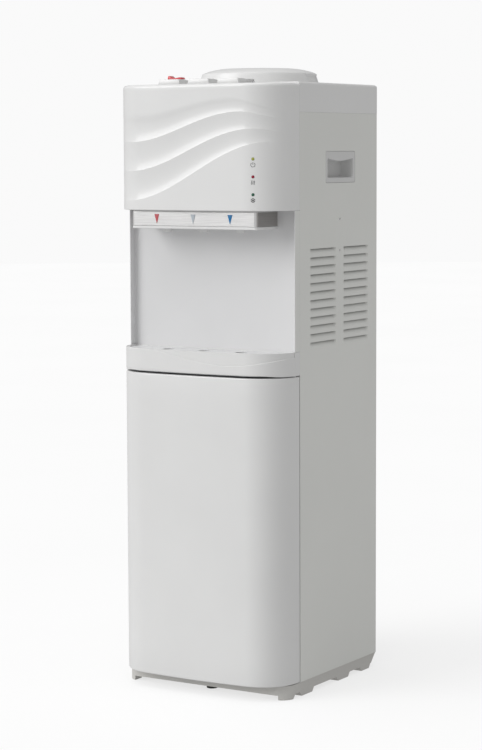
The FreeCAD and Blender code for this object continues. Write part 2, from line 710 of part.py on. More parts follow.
def tap_housing():
    """White ledge over the nozzles: a hollow box whose lower rim is flush with the trim strip."""
    band = STRIP_THICKNESS + SEAM
    z_band = Z_STRIP_TOP - STRIP_HEIGHT - SEAM
    ledge = housing_plan(0, Z_LEDGE, z_band)
    body = housing_plan(band, Z_LEDGE, Z_HEAD)
    hollow = housing_plan(band + SHELL, Z_LEDGE + SHELL, Z_HEAD + LOOSE)
    holes = [post(x, Y_TAP, Z_LEDGE - LOOSE, Z_HEAD, TAP_RADIUS + SLIDING) for x in TAPS.values()]
    return cut(join([ledge, body]).cut(hollow), holes)


def trim_strip():
    z0 = Z_STRIP_TOP - STRIP_HEIGHT
    inside = housing_plan(STRIP_THICKNESS, z0 - LOOSE, Z_STRIP_TOP + LOOSE)
    return housing_plan(0, z0, Z_STRIP_TOP).cut(inside)


def tap_marker(x):
    """Small triangle that points down at its tap."""
    mid = Z_STRIP_TOP - STRIP_HEIGHT / 2
    half = MARKER_WIDTH / 2
    high = mid + MARKER_HEIGHT / 2
    points = [vec(x - half, Y_STRIP, high), vec(x + half, Y_STRIP, high),
              vec(x, Y_STRIP, mid - MARKER_HEIGHT / 2)]
    return prism(points, vec(0, -MARKER_THICKNESS, 0))


def tap(x):
    """Valve body with a narrower spout and a bore for the water and its stem."""
    z_spout = Z_HEAD - TAP_DROP
    body = post(x, Y_TAP, Z_LEDGE - 1.0, Z_HEAD + TAP_RISE, TAP_RADIUS)
    spout = post(x, Y_TAP, z_spout, Z_LEDGE, TAP_SPOUT_RADIUS)
    flange = post(x, Y_TAP, Z_HEAD + SHELL + SEAM, Z_HEAD + SHELL + SEAM + 3, TAP_FLANGE)
    inlet = bar_y(x, Y_TAP, Y_TAP + TAP_RADIUS + 8, Z_HEAD + TAP_RISE - 9, TUBE_BORE)
    bore = post(x, Y_TAP, z_spout - LOOSE, Z_HEAD + TAP_RISE + LOOSE, TAP_BORE_RADIUS)
    return join([body, spout, flange, inlet]).cut(bore)


# ---- head ----

def button_bay(grow, z0, z1):
    """Opening in the deck that the plinth and the paddles stand in."""
    x = plinth_half() + grow
    y0 = Y_FRONT + BUTTON_FRONT_BACK - LOOSE - grow
    y1 = y0 + BUTTON_LENGTH + PLINTH_BACK_WALL + 2 * LOOSE + 2 * grow
    return box(-x, x, y0, y1, z0, z1)


def plinth_half():
    return BUTTON_PITCH + BUTTON_WIDTH / 2 + SEAM + PLINTH_END_WALL


def light_frame():
    """Centre of the right front corner and the outward direction of the indicator lights."""
    angle = math.radians(LIGHT_ANGLE)
    centre = vec(HALF - CORNER_RADIUS, CORNER_Y, 0)
    return centre, vec(math.cos(angle), -math.sin(angle), 0)


def light_levels():
    top = Z_DECK - LIGHT_TOP_DROP
    return [top - i * LIGHT_PITCH for i in range(3)]


def light_post(level, inner, outer, radius):
    centre, out = light_frame()
    start = centre + out * inner + vec(0, 0, level)
    return Part.makeCylinder(radius, outer - inner, start, out)


def head_front_panel():
    """Front shell of the head with its deck, open below and behind."""
    solid = plan_prism(0, Y_DOOR_BACK, Z_HEAD, Z_DECK)
    rim = [e for e in solid.Edges if rim_edge(e, Z_DECK, Z_DECK, Y_DOOR_BACK)]
    solid = solid.makeFillet(HEAD_FILLET, rim)
    hollow = plan_prism(SHELL, Y_DOOR_BACK + LOOSE, Z_HEAD - LOOSE, Z_DECK - SHELL)
    tools = [hollow, button_bay(SLIDING, Z_DECK - 2 * SHELL, Z_DECK + LOOSE)]
    tools += [light_post(z, CORNER_RADIUS - 2 * SHELL, CORNER_RADIUS + LOOSE, LIGHT_RADIUS + RUNNING)
              for z in light_levels()]
    return cut(solid, tools)


def head_base():
    """Plate closing the underside of the head, over the tap housing."""
    plate = plan_prism(SHELL + SEAM, Y_NICHE - SEAM, Z_HEAD, Z_HEAD + SHELL)
    wing = box(-HALF + SHELL + SEAM, HALF - SHELL - SEAM, Y_NICHE - SEAM, Y_PANEL + FLANGE,
               Z_HEAD, Z_HEAD + SHELL)
    holes = [post(x, Y_TAP, Z_HEAD - LOOSE, Z_HEAD + 2 * SHELL, TAP_RADIUS + SLIDING)
             for x in TAPS.values()]
    return cut(join([plate, wing]), holes)


def indicator_lights():
    outer = CORNER_RADIUS + 0.3
    return Part.makeCompound([light_post(z, CORNER_RADIUS - SHELL - LIGHT_REACH, outer, LIGHT_RADIUS)
                              for z in light_levels()])


def indicator_board():
    """Small circuit board that carries the three lights, square to them."""
    centre, out = light_frame()
    side = vec(-out.y, out.x, 0)
    levels = light_levels()
    reach = CORNER_RADIUS - SHELL - LIGHT_REACH - BOARD_THICKNESS
    z0 = levels[-1] - 14.0
    corner = centre + out * reach - side * 9.0 + vec(0, 0, z0)
    points = [corner, corner + side * 18.0, corner + side * 18.0 + out * BOARD_THICKNESS,
              corner + out * BOARD_THICKNESS]
    board = prism(points, vec(0, 0, levels[0] - z0 + 14.0))
    ribs = []
    for edge in (-9.0, 7.5):
        foot = centre + out * (reach + BOARD_THICKNESS) + side * edge + vec(0, 0, z0)
        length = SHELL + LIGHT_REACH - SHELL - 0.8
        rib = [foot, foot + side * 1.5, foot + side * 1.5 + out * length, foot + out * length]
        ribs.append(prism(rib, vec(0, 0, levels[0] - z0 + 14.0)))
    return join([board] + ribs)


def top_cover():
    """Deck around the bottle seat with deep sides, open below and in front."""
    y0 = Y_PANEL
    solid = box(-HALF, HALF, y0, Y_REAR, Z_SEAM, Z_COVER)
    upper = [e for e in solid.Edges if abs(e.BoundBox.ZMin - Z_COVER) < 0.01 and e.BoundBox.YMax > y0 + 0.01]
    solid = solid.makeFillet(HEAD_FILLET - LOOSE, upper)
    hollow = box(-HALF + SHELL, HALF - SHELL, y0 - LOOSE, Y_REAR - SHELL, Z_SEAM - LOOSE, Z_COVER - SHELL)
    front = box(-HALF + SHELL, HALF - SHELL, y0, y0 + SHELL, Z_DECK - SHELL * 2, Z_COVER - SHELL)
    well = post(0, Y_BOTTLE, Z_SEAM, Z_COVER + LOOSE, COLLAR_SKIRT_RADIUS + SLIDING)
    seat = turned([(COLLAR_SKIRT_RADIUS + SLIDING, Z_COVER - COLLAR_SKIRT),
                   (COLLAR_SKIRT_RADIUS + SLIDING, Z_COVER),
                   (COLLAR_SKIRT_RADIUS + SLIDING + SHELL, Z_COVER),
                   (COLLAR_SKIRT_RADIUS + SLIDING + SHELL, Z_COVER - COLLAR_SKIRT)], 0, Y_BOTTLE)
    return join([solid.cut(hollow), front, seat]).cut(well)


def grip(side):
    """Recessed handle cup with a frame flush with the side and a flange behind the sheet."""
    back = HALF - SHEET
    frame = grip_window(0, 0, back, HALF)
    flange = grip_window(GRIP_FLANGE, GRIP_FLANGE, back - SHELL, back)
    cup = grip_window(SHELL - GRIP_MARGIN_Y, SHELL - GRIP_MARGIN_Z, HALF - GRIP_DEPTH, back)
    hollow = grip_window(-GRIP_MARGIN_Y, -GRIP_MARGIN_Z, HALF - GRIP_DEPTH + SHELL, HALF + LOOSE)
    solid = join([frame, flange, cup]).cut(hollow)
    return solid if side > 0 else mirror_x(solid)


# ---- buttons ----

def button_pivot():
    y = Y_FRONT + BUTTON_FRONT_BACK + BUTTON_LENGTH - BUTTON_PIVOT_FROM_BACK
    return y, Z_DECK + BUTTON_RISE - BUTTON_PIVOT_DROP


def rod_top():
    return Z_DECK + BUTTON_RISE - BUTTON_THICKNESS - SEAM


def button(x):
    """Paddle with skirts and a bored hub at its rear, so that it tips down at the front."""
    half = BUTTON_WIDTH / 2
    y0 = Y_FRONT + BUTTON_FRONT_BACK
    y1 = y0 + BUTTON_LENGTH
    top = Z_DECK + BUTTON_RISE
    low = top - BUTTON_SKIRT
    solid = box(x - half, x + half, y0, y1, low, top)
    upright = [e for e in solid.Edges if e.BoundBox.ZLength > 1]
    solid = solid.makeFillet(2 * SHELL, upright)
    crown = [e for e in solid.Edges if abs(e.BoundBox.ZMin - top) < 0.01]
    solid = solid.makeFillet(1.5, crown)
    hollow = box(x - half + 2, x + half - 2, y0 + 2, y1 - 2, low - LOOSE, top - BUTTON_THICKNESS)
    py, pz = button_pivot()
    hub = bar_x(x - half + 1, x + half - 1, py, pz, HUB_RADIUS)
    bore = bar_x(x - half - 1, x + half + 1, py, pz, AXLE_RADIUS + RUNNING)
    return join([solid.cut(hollow), hub]).cut(bore)


def lock_centre():
    return BUTTONS["hot"], Y_FRONT + BUTTON_FRONT_BACK + BUTTON_LENGTH / 2 - 2.0


def hot_button():
    """Paddle with a slot for the key of the child lock."""
    x, y = lock_centre()
    top = Z_DECK + BUTTON_RISE
    slot = box(x - 3.0 - SLIDING, x + 3.0 + SLIDING, y - 2.0 - SLIDING, y + 2.0 + LOCK_TRAVEL + SLIDING,
               top - BUTTON_THICKNESS - LOOSE, top + LOOSE)
    return button(x).cut(slot)


def child_lock():
    """Slide with a raised wedge at its left end; its key hangs in the slot of the hot button."""
    x, y = lock_centre()
    z0 = Z_DECK + BUTTON_RISE + SLIDING
    half = LOCK_LENGTH / 2
    flat = LOCK_HEIGHT
    profile = [vec(x - half, y - LOCK_WIDTH / 2, z0), vec(x + half, y - LOCK_WIDTH / 2, z0),
               vec(x + half, y - LOCK_WIDTH / 2, z0 + flat - 1.0),
               vec(x + half - 1.0, y - LOCK_WIDTH / 2, z0 + flat),
               vec(x - half + 12.0, y - LOCK_WIDTH / 2, z0 + flat),
               vec(x - half + 6.0, y - LOCK_WIDTH / 2, z0 + LOCK_TIP),
               vec(x - half, y - LOCK_WIDTH / 2, z0 + 1.0)]
    slide = prism(profile, vec(0, LOCK_WIDTH, 0))
    key = box(x - 3.0, x + 3.0, y - 2.0, y + 2.0, z0 - BUTTON_THICKNESS + 1.0, z0 + 1.0)
    return join([slide, key])


def button_plinth():
    """Tray under the paddles with dividers between them and bearings for the axle."""
    z0 = Z_DECK - PLINTH_DEPTH
    z_flange = Z_DECK - SHELL - SLIDING
    top = Z_DECK + PLINTH_RISE
    body = button_bay(0, z0, top)
    bounds = body.BoundBox
    flange = box(bounds.XMin - 4, bounds.XMax + 4, bounds.YMin - 4, bounds.YMax, z_flange - 2, z_flange)
    tools = []
    for x in BUTTONS.values():
        half = BUTTON_WIDTH / 2 + SEAM
        tools.append(box(x - half, x + half, bounds.YMin - 0.3, bounds.YMax - PLINTH_BACK_WALL,
                         z0 + SHELL, top + LOOSE))
    front_end = bounds.YMin + PLINTH_FRONT_SETBACK
    tools.append(box(bounds.XMin - 5, bounds.XMax + 5, bounds.YMin - 5, front_end, z_flange, top + LOOSE))
    tools += [post(x, Y_TAP, z0 - LOOSE, z0 + 2 * SHELL, ROD_RADIUS + SLIDING) for x in TAPS.values()]
    py, pz = button_pivot()
    tools.append(bar_x(bounds.XMin - 1, bounds.XMax + 1, py, pz, AXLE_RADIUS))
    return cut(join([body, flange]), tools)


def button_axle():
    py, pz = button_pivot()
    return bar_x(-plinth_half(), plinth_half(), py, pz, AXLE_RADIUS)


def push_rod(x):
    """Straight rod from the paddle down into the valve."""
    return post(x, Y_TAP, Z_HEAD - SHELL, rod_top(), ROD_RADIUS)


# ---- bottle seat ----

def collar_base():
    return Z_COVER + SLIDING


def collar_top():
    return collar_base() + COLLAR_BAND + COLLAR_DOME


def bottle_collar():
    """Tapered band, low dome and funnel in one moulding, with a skirt inside the deck's hole."""
    z0, zt = collar_base(), collar_top()
    wall = SHELL
    shoulder = z0 + COLLAR_BAND
    span = COLLAR_SHOULDER_RADIUS - COLLAR_FLAT_RADIUS
    dome = []
    for i in range(5):
        angle = math.pi / 2 * i / 4
        dome.append((COLLAR_FLAT_RADIUS + span * math.cos(angle), shoulder + COLLAR_DOME * math.sin(angle)))
    floor = zt - WELL_DEPTH
    hole = PROBE_RADIUS + RUNNING
    skirt = COLLAR_SKIRT_RADIUS
    outer = [(skirt, z0), (COLLAR_RADIUS, z0)] + dome
    funnel = [(WELL_RADIUS, zt), (WELL_NECK_RADIUS, floor), (hole, floor), (hole, floor - wall),
              (WELL_NECK_RADIUS + wall, floor - wall), (WELL_RADIUS + wall, zt - 2 * wall)]
    under = [(COLLAR_FLAT_RADIUS + wall, zt - 2 * wall), (skirt - wall, shoulder - wall),
             (skirt - wall, z0 - COLLAR_SKIRT), (skirt, z0 - COLLAR_SKIRT)]
    return turned(outer + funnel + under, 0, Y_BOTTLE)


def bottle_probe():
    """Upright spout that opens the bottle: a flanged tube with side windows."""
    floor = collar_top() - WELL_DEPTH
    r = PROBE_RADIUS
    top = floor + PROBE_RISE
    profile = [(r - 2.5, floor - SHELL - PROBE_DROP), (r, floor - SHELL - PROBE_DROP), (r, floor),
               (2 * r, floor), (2 * r, floor + 2.0), (r, floor + 2.0), (r, top - 6.0), (r * 0.4, top),
               (0, top), (0, top - 3.0), (r - 2.5, top - 8.0)]
    tube = turned(profile, 0, Y_BOTTLE)
    mid = top - 16.0
    windows = [bar_x(-r - 1, r + 1, Y_BOTTLE, mid, 2.4),
               bar_y(0, Y_BOTTLE - r - 1, Y_BOTTLE + r + 1, mid, 2.4)]
    return cut(tube, windows)


# ---- cooling ----

def tank_level():
    return Z_HEAD + FOAM_THICKNESS + 27.0


def shelf_level():
    """Top of the shelf that carries the cold tank in its foam."""
    return tank_level() - FOAM_THICKNESS - SLIDING


def fan_level():
    return tank_level() + TANK_HEIGHT / 2


def tank_outlets():
    """Places of the outlets in the floor of the cold tank."""
    return {"room": (0.0, Y_BOTTLE - 29.0), "cold": (30.0, Y_BOTTLE - 29.0),
            "feed": (-30.0, Y_BOTTLE), "drain": (DRAIN_X + DRAIN_PITCH, Y_BOTTLE + 31.0)}


def outlet_holes(z0, z1, radius):
    return [post(x, y, z0, z1, radius) for x, y in tank_outlets().values()]


def neck_top():
    return collar_top() - WELL_DEPTH - SHELL - SLIDING


def cold_tank():
    z0 = tank_level()
    z1 = z0 + TANK_HEIGHT
    w = TANK_WALL
    n = TANK_NECK_RADIUS
    profile = [(0, z0), (TANK_RADIUS, z0), (TANK_RADIUS, z1), (n, z1), (n, neck_top() - 3.0),
               (n - w, neck_top() - 3.0), (n - w, z1 - w), (TANK_RADIUS - w, z1 - w),
               (TANK_RADIUS - w, z0 + w), (0, z0 + w)]
    return cut(turned(profile, 0, Y_BOTTLE), outlet_holes(z0 - 1, z0 + 3, TUBE_BORE))


def neck_seal():
    z0 = tank_level() + TANK_HEIGHT
    r = TANK_NECK_RADIUS + SEAM
    return turned([(r, z0), (r + 6.0, z0), (r + 6.0, z0 + 3), (r + 2.5, z0 + 5), (r + 2.5, neck_top() - 2),
                   (r + 5.0, neck_top()), (r, neck_top())], 0, Y_BOTTLE)


def block_back():
    return Y_BOTTLE + TANK_RADIUS + BLOCK_THICKNESS


def cold_foam():
    """Foam cup around the cold tank with a window for the cold block."""
    z0 = tank_level()
    z1 = z0 + TANK_HEIGHT
    r0 = TANK_RADIUS + SLIDING
    r1 = r0 + FOAM_THICKNESS
    cup = turned([(0, z0 - FOAM_THICKNESS), (r1, z0 - FOAM_THICKNESS), (r1, z1), (r0, z1), (r0, z0), (0, z0)],
                 0, Y_BOTTLE)
    half = BLOCK_SIZE / 2 + SLIDING
    window = box(-half, half, Y_BOTTLE, Y_REAR, fan_level() - half, fan_level() + half)
    flat = box(-r1, r1, block_back(), Y_REAR, z0 - 2 * FOAM_THICKNESS, z1 + LOOSE)
    holes = outlet_holes(z0 - 2 * FOAM_THICKNESS, z0 + 1, TUBE_RADIUS + SLIDING)
    return cut(cup, [window, flat] + holes)


def tank_shelf():
    x = HALF - SHEET - SLIDING
    z1 = shelf_level()
    z0 = z1 - SHEET
    plate = box(-x, x, Y_PANEL + FLANGE + LOOSE, Y_BACK_SHEET, z0, z1)
    lips = [box(a, a + SHEET, Y_PANEL + FLANGE + LOOSE, Y_BACK_SHEET, z0 - FLANGE, z1)
            for a in (-x, x - SHEET)]
    return cut(join([plate] + lips), outlet_holes(z0 - 1, z1 + 1, TUBE_RADIUS + SLIDING))


def cold_block():
    half = BLOCK_SIZE / 2
    z = fan_level()
    block = box(-half, half, Y_BOTTLE + TANK_RADIUS - BLOCK_THICKNESS, block_back(), z - half, z + half)
    return block.cut(post(0, Y_BOTTLE, z - BLOCK_SIZE, z + BLOCK_SIZE, TANK_RADIUS + SLIDING))


def cooling_module():
    half = MODULE_SIZE / 2
    z = fan_level()
    return box(-half, half, block_back(), block_back() + MODULE_THICKNESS, z - half, z + half)


def heat_sink():
    half = SINK_SIZE / 2
    z = fan_level()
    y0 = block_back() + MODULE_THICKNESS
    parts = [box(-half, half, y0, y0 + SINK_BASE, z - half, z + half)]
    step = (SINK_SIZE - SINK_FIN_THICKNESS) / (SINK_FIN_COUNT - 1)
    for i in range(SINK_FIN_COUNT):
        x = -half + i * step
        parts.append(box(x, x + SINK_FIN_THICKNESS, y0 + SINK_BASE, y0 + SINK_BASE + SINK_FIN,
                         z - half, z + half))
    return join(parts)


def fan_planes():
    return Y_BACK_SHEET - FAN_DEPTH, Y_BACK_SHEET


def fan_frame():
    """Square frame with three spokes that carry the rotor's pin."""
    y0, y1 = fan_planes()
    z = fan_level()
    half = FAN_SIZE / 2
    ring = box(-half, half, y0, y1, z - half, z + half).cut(bar_y(0, y0 - 1, y1 + 1, z, FAN_BORE_RADIUS))
    hub = bar_y(0, y0, y0 + 2.0, z, FAN_HUB_RADIUS)
    pin = bar_y(0, y0, y1 - 3.0, z, FAN_SHAFT_RADIUS)
    spokes = []
    for i in range(3):
        spoke = box(0, FAN_BORE_RADIUS + 1, y0, y0 + 2.0, z - 2.0, z + 2.0)
        spokes.append(spoke.rotate(vec(0, 0, z), vec(0, 1, 0), 30 + 120 * i))
    return join([ring, hub, pin] + spokes)


def fan_rotor():
    y0, y1 = fan_planes()
    z = fan_level()
    a, b = y0 + 2.6, y1 - 2.0
    hub = bar_y(0, a, b, z, FAN_HUB_RADIUS)
    parts = [hub]
    for i in range(FAN_BLADE_COUNT):
        points = [vec(-3.0, a, z + FAN_HUB_RADIUS - 2), vec(-1.6, a, z + FAN_HUB_RADIUS - 2),
                  vec(12.0, b, z + FAN_HUB_RADIUS - 2), vec(10.6, b, z + FAN_HUB_RADIUS - 2)]
        blade = prism(points, vec(0, 0, FAN_BORE_RADIUS - FAN_HUB_RADIUS - 4.0))
        parts.append(blade.rotate(vec(0, 0, z), vec(0, 1, 0), 360.0 / FAN_BLADE_COUNT * i))
    bore = bar_y(0, a - 1, b - 0.8, z, FAN_SHAFT_RADIUS + RUNNING)
    return join(parts).cut(bore)


def fan_grille():
    """Wire-like guard on the rear panel: rings and a cross."""
    y0, y1 = Y_FLANGE, Y_FLANGE + GRILLE_THICKNESS
    z = fan_level()
    outer = FAN_BORE_RADIUS + 3.5
    parts = []
    for r in (outer, outer * 0.78, outer * 0.56, outer * 0.34):
        parts.append(bar_y(0, y0, y1, z, r).cut(bar_y(0, y0 - 1, y1 + 1, z, r - GRILLE_BAR)))
    half = GRILLE_BAR / 2
    parts.append(box(-outer + half, outer - half, y0, y1, z - half, z + half))
    parts.append(box(-half, half, y0, y1, z - outer + half, z + outer - half))
    return join(parts)


# ---- heating ----

def hot_place():
    return HOT_TANK_X, Y_BOTTLE - 19.0, Z_BEZEL + HOT_TANK_LIFT


def hot_tank():
    x, y, z0 = hot_place()
    z1 = z0 + HOT_TANK_HEIGHT
    outer = post(x, y, z0, z1, HOT_TANK_RADIUS)
    inner = post(x, y, z0 + TANK_WALL, z1 - TANK_WALL, HOT_TANK_RADIUS - TANK_WALL)
    holes = [post(hx, hy, z1 - 3, z1 + 1, TUBE_BORE) for hx, hy in hot_ports()]
    holes.append(post(x, y, z0 - 1, z0 + 3, TUBE_BORE))
    return cut(outer.cut(inner), holes)


def hot_ports():
    """Outlet and feed in the lid of the hot tank."""
    y = hot_place()[1]
    return [(TAPS["hot"], y - 18.0), tank_outlets()["feed"]]


def heater_band():
    x, y, z0 = hot_place()
    low = z0 + 20.0
    r = HOT_TANK_RADIUS
    return turned([(r, low), (r + HEATER_THICKNESS, low), (r + HEATER_THICKNESS, low + HEATER_HEIGHT),
                   (r, low + HEATER_HEIGHT)], x, y)


def hot_foam():
    x, y, z0 = hot_place()
    r0 = HOT_TANK_RADIUS + HEATER_THICKNESS + SLIDING
    r1 = r0 + HOT_FOAM
    cup = turned([(0, z0 - HOT_FOAM), (r1, z0 - HOT_FOAM), (r1, z0 + HOT_TANK_HEIGHT),
                  (r0, z0 + HOT_TANK_HEIGHT), (r0, z0), (0, z0)], x, y)
    return cup.cut(post(x, y, z0 - 2 * HOT_FOAM, z0 + 1, TUBE_RADIUS + SLIDING))


def hot_stand():
    """Folded steel stand between the shelf and the hot tank's foam."""
    x, y, z0 = hot_place()
    half = HOT_TANK_RADIUS
    top = z0 - HOT_FOAM
    floor = Z_BEZEL - PULL_GAP + SHEET
    plate = box(x - half, x + half, y - half, y + half, top - SHEET, top)
    legs = [box(a, a + SHEET, y - half, y + half, floor, top) for a in (x - half, x + half - SHEET)]
    feet = [box(a, a + FLANGE, y - half, y + half, floor, floor + SHEET)
            for a in (x - half, x + half - FLANGE)]
    return join([plate] + legs + feet).cut(post(x, y, top - FLANGE, top + 1, TUBE_RADIUS + SLIDING))


def heating_parts():
    """Heater band around the hot tank and two thermostats on its lid."""
    return Part.makeCompound([heater_band()] + thermostats())


def thermostats():
    x, y, z0 = hot_place()
    top = z0 + HOT_TANK_HEIGHT
    discs = []
    for dx in (-16.0, 16.0):
        disc = post(x + dx, y, top, top + THERMOSTAT_HEIGHT, THERMOSTAT_RADIUS)
        tab = box(x + dx - 1.5, x + dx + 1.5, y - 0.4, y + 0.4, top + THERMOSTAT_HEIGHT - 1,
                  top + THERMOSTAT_HEIGHT + 7)
        discs.append(join([disc, tab]))
    return discs


def pipe(points, radius):
    """Round bar along a polyline with ball corners."""
    parts = []
    for a, b in zip(points, points[1:]):
        parts.append(Part.makeCylinder(radius, (b - a).Length, a, b - a))
    parts += [Part.makeSphere(radius, p) for p in points[1:-1]]
    return join(parts)


def tube(points):
    inner = list(points)
    first = (points[1] - points[0]).normalize()
    last = (points[-1] - points[-2]).normalize()
    inner[0] = points[0] - first
    inner[-1] = points[-1] + last
    return pipe(points, TUBE_RADIUS).cut(pipe(inner, TUBE_BORE))


def water_tubes():
    """Silicone tubes between the tanks, the taps and the drains."""
    run = Z_HEAD + TAP_RISE - 9
    inlet = Y_TAP + TAP_RADIUS + 8
    bottom = tank_level()
    hot_x, hot_y, hot_z = hot_place()
    lid = hot_z + HOT_TANK_HEIGHT
    outlets = tank_outlets()
    routes = []
    for name in ("room", "cold"):
        ox, oy = outlets[name]
        tap_x = TAPS[name]
        turn = inlet + 30.0
        corners = [vec(tap_x, inlet, run), vec(tap_x, turn, run)] if tap_x != ox else [vec(ox, inlet, run)]
        routes.append(corners + [vec(ox, oy, run), vec(ox, oy, bottom)])
    out_x, out_y = hot_ports()[0]
    routes.append([vec(out_x, inlet, run), vec(out_x, out_y, run), vec(out_x, out_y, lid)])
    fx, fy = outlets["feed"]
    routes.append([vec(fx, fy, bottom), vec(fx, fy, lid)])
    drains = drain_places()
    z = drains["hot"][1]
    mouth = drain_back()
    routes.append([vec(hot_x, hot_y, hot_z), vec(hot_x, hot_y, z), vec(drains["hot"][0], mouth, z)])
    dx, dy = outlets["drain"]
    routes.append([vec(dx, dy, bottom), vec(dx, dy, z), vec(drains["cold"][0], mouth, z)])
    return Part.makeCompound([tube(route) for route in routes])


# ---- rear fittings ----

def drain_back():
    return Y_BACK_SHEET - DRAIN_RECESS - 5.0


def drain_bezel():
    """Moulded recess behind the rear panel with a spigot for each drain."""
    places = drain_places()
    xs = [p[0] for p in places.values()]
    z = places["hot"][1]
    r = DRAIN_PLUG_RADIUS + 4.0
    x0, x1 = min(xs) - r, max(xs) + r
    y0 = Y_REAR - DRAIN_PLUG_DEPTH - SLIDING - 3.0
    wall = box(x0, x1, y0, y0 + 2.0, z - r, z + r)
    rim = box(x0, x1, y0, Y_BACK_SHEET, z - r, z + r)
    rim = rim.cut(box(x0 + 2, x1 - 2, y0 - 1, Y_REAR, z - r + 2, z + r - 2))
    spigots = [bar_y(x, drain_back(), Y_REAR - 4.5, z, DRAIN_PIPE_RADIUS) for x in xs]
    bores = [bar_y(x, drain_back() - 1, Y_REAR, z, TUBE_BORE) for x in xs]
    return cut(join([wall, rim] + spigots), bores)


def drain_plug(x):
    """Finger cap over a drain spigot, with a raised bar to turn it by."""
    z = drain_places()["hot"][1]
    y0 = Y_REAR - DRAIN_PLUG_DEPTH
    cap = bar_y(x, y0, Y_REAR - 2.5, z, DRAIN_PLUG_RADIUS)
    socket = bar_y(x, y0 - 1, Y_REAR - 4.0, z, DRAIN_PIPE_RADIUS + RUNNING)
    ridge = box(x - DRAIN_PLUG_RADIUS * 0.8, x + DRAIN_PLUG_RADIUS * 0.8, Y_REAR - 3.0, Y_REAR - 0.2,
                z - 1.5, z + 1.5)
    return join([cap, ridge]).cut(socket)


def switch_pivot():
    return Y_REAR - 3.5


def switch_frames():
    """Snap-in frames of the two rear rockers, each with its pivot pin."""
    frames = []
    for x, z in switch_places().values():
        w, h = SWITCH_WIDTH / 2 + 1.5, SWITCH_HEIGHT / 2 + 1.5
        body = box(x - w + SLIDING, x + w - SLIDING, Y_BACK_SHEET - 10, Y_FLANGE,
                   z - h + SLIDING, z + h - SLIDING)
        lip = box(x - w - 1.5, x + w + 1.5, Y_FLANGE, Y_FLANGE + 0.8, z - h - 1.5, z + h + 1.5)
        room = box(x - SWITCH_WIDTH / 2, x + SWITCH_WIDTH / 2, Y_BACK_SHEET - 8, Y_REAR,
                   z - SWITCH_HEIGHT / 2, z + SWITCH_HEIGHT / 2)
        pin = bar_x(x - w + SLIDING, x + w - SLIDING, switch_pivot(), z, 1.0)
        pin = pin.common(box(x - w, x + w, Y_BACK_SHEET - 10, Y_FLANGE + 0.8, z - 2, z + 2))
        frames.append(join([join([body, lip]).cut(room), pin]))
    return Part.makeCompound(frames)


def rocker(x, z):
    """Rocker with a dished face, stored tipped to its off side."""
    half = SWITCH_WIDTH / 2 - SLIDING
    y = switch_pivot()
    tip = SWITCH_HEIGHT / 2 - 1.0
    points = [vec(x - half, y + 1.6, z - tip), vec(x - half, y + 0.6, z - tip / 2), vec(x - half, y + 0.4, z),
              vec(x - half, y + 0.6, z + tip / 2), vec(x - half, y + 1.6, z + tip),
              vec(x - half, y - 1.0, z + tip), vec(x - half, y - 4.5, z + 3), vec(x - half, y - 4.5, z - 3),
              vec(x - half, y - 1.0, z - tip)]
    body = prism(points, vec(2 * half, 0, 0))
    hub = bar_x(x - half, x + half, y, z, 2.2)
    hole = bar_x(x - half - 1, x + half + 1, y, z, 1.0 + RUNNING)
    return join([body, hub]).cut(hole).rotate(vec(x, y, z), vec(1, 0, 0), -SWITCH_ANGLE / 2)


def cord_gland():
    z = Z_BEZEL + GLAND_LIFT
    body = bar_y(GLAND_X, Y_BACK_SHEET - 8, Y_FLANGE, z, GLAND_RADIUS)
    flange = bar_y(GLAND_X, Y_FLANGE, Y_FLANGE + 1.8, z, GLAND_RADIUS + 3)
    nut = bar_y(GLAND_X, Y_BACK_SHEET - 4, Y_BACK_SHEET, z, GLAND_RADIUS + 3)
    return join([body, flange, nut]).cut(bar_y(GLAND_X, Y_BACK_SHEET - 9, Y_REAR, z, GLAND_BORE))


def power_board():
    """Circuit board on four posts with its larger components."""
    x0 = GLAND_X - POWER_BOARD_WIDTH + 20
    z0 = Z_BEZEL + GLAND_LIFT + 25
    y1 = Y_BACK_SHEET - 8
    board = box(x0, x0 + POWER_BOARD_WIDTH, y1 - BOARD_THICKNESS, y1, z0, z0 + POWER_BOARD_HEIGHT)
    posts = [bar_y(x0 + px, y1 - BOARD_THICKNESS, Y_BACK_SHEET, z0 + pz, 3)
             for px in (5, POWER_BOARD_WIDTH - 5) for pz in (5, POWER_BOARD_HEIGHT - 5)]
    face = y1 - BOARD_THICKNESS
    parts = [box(x0 + 12, x0 + 44, face - 24, face, z0 + 14, z0 + 44),
             bar_y(x0 + 60, face - 18, face, z0 + 20, 8), bar_y(x0 + 60, face - 18, face, z0 + 42, 8),
             box(x0 + 74, x0 + 84, face - 14, face, z0 + 12, z0 + 34)]
    return join([board] + posts + parts)


# ---- output ----

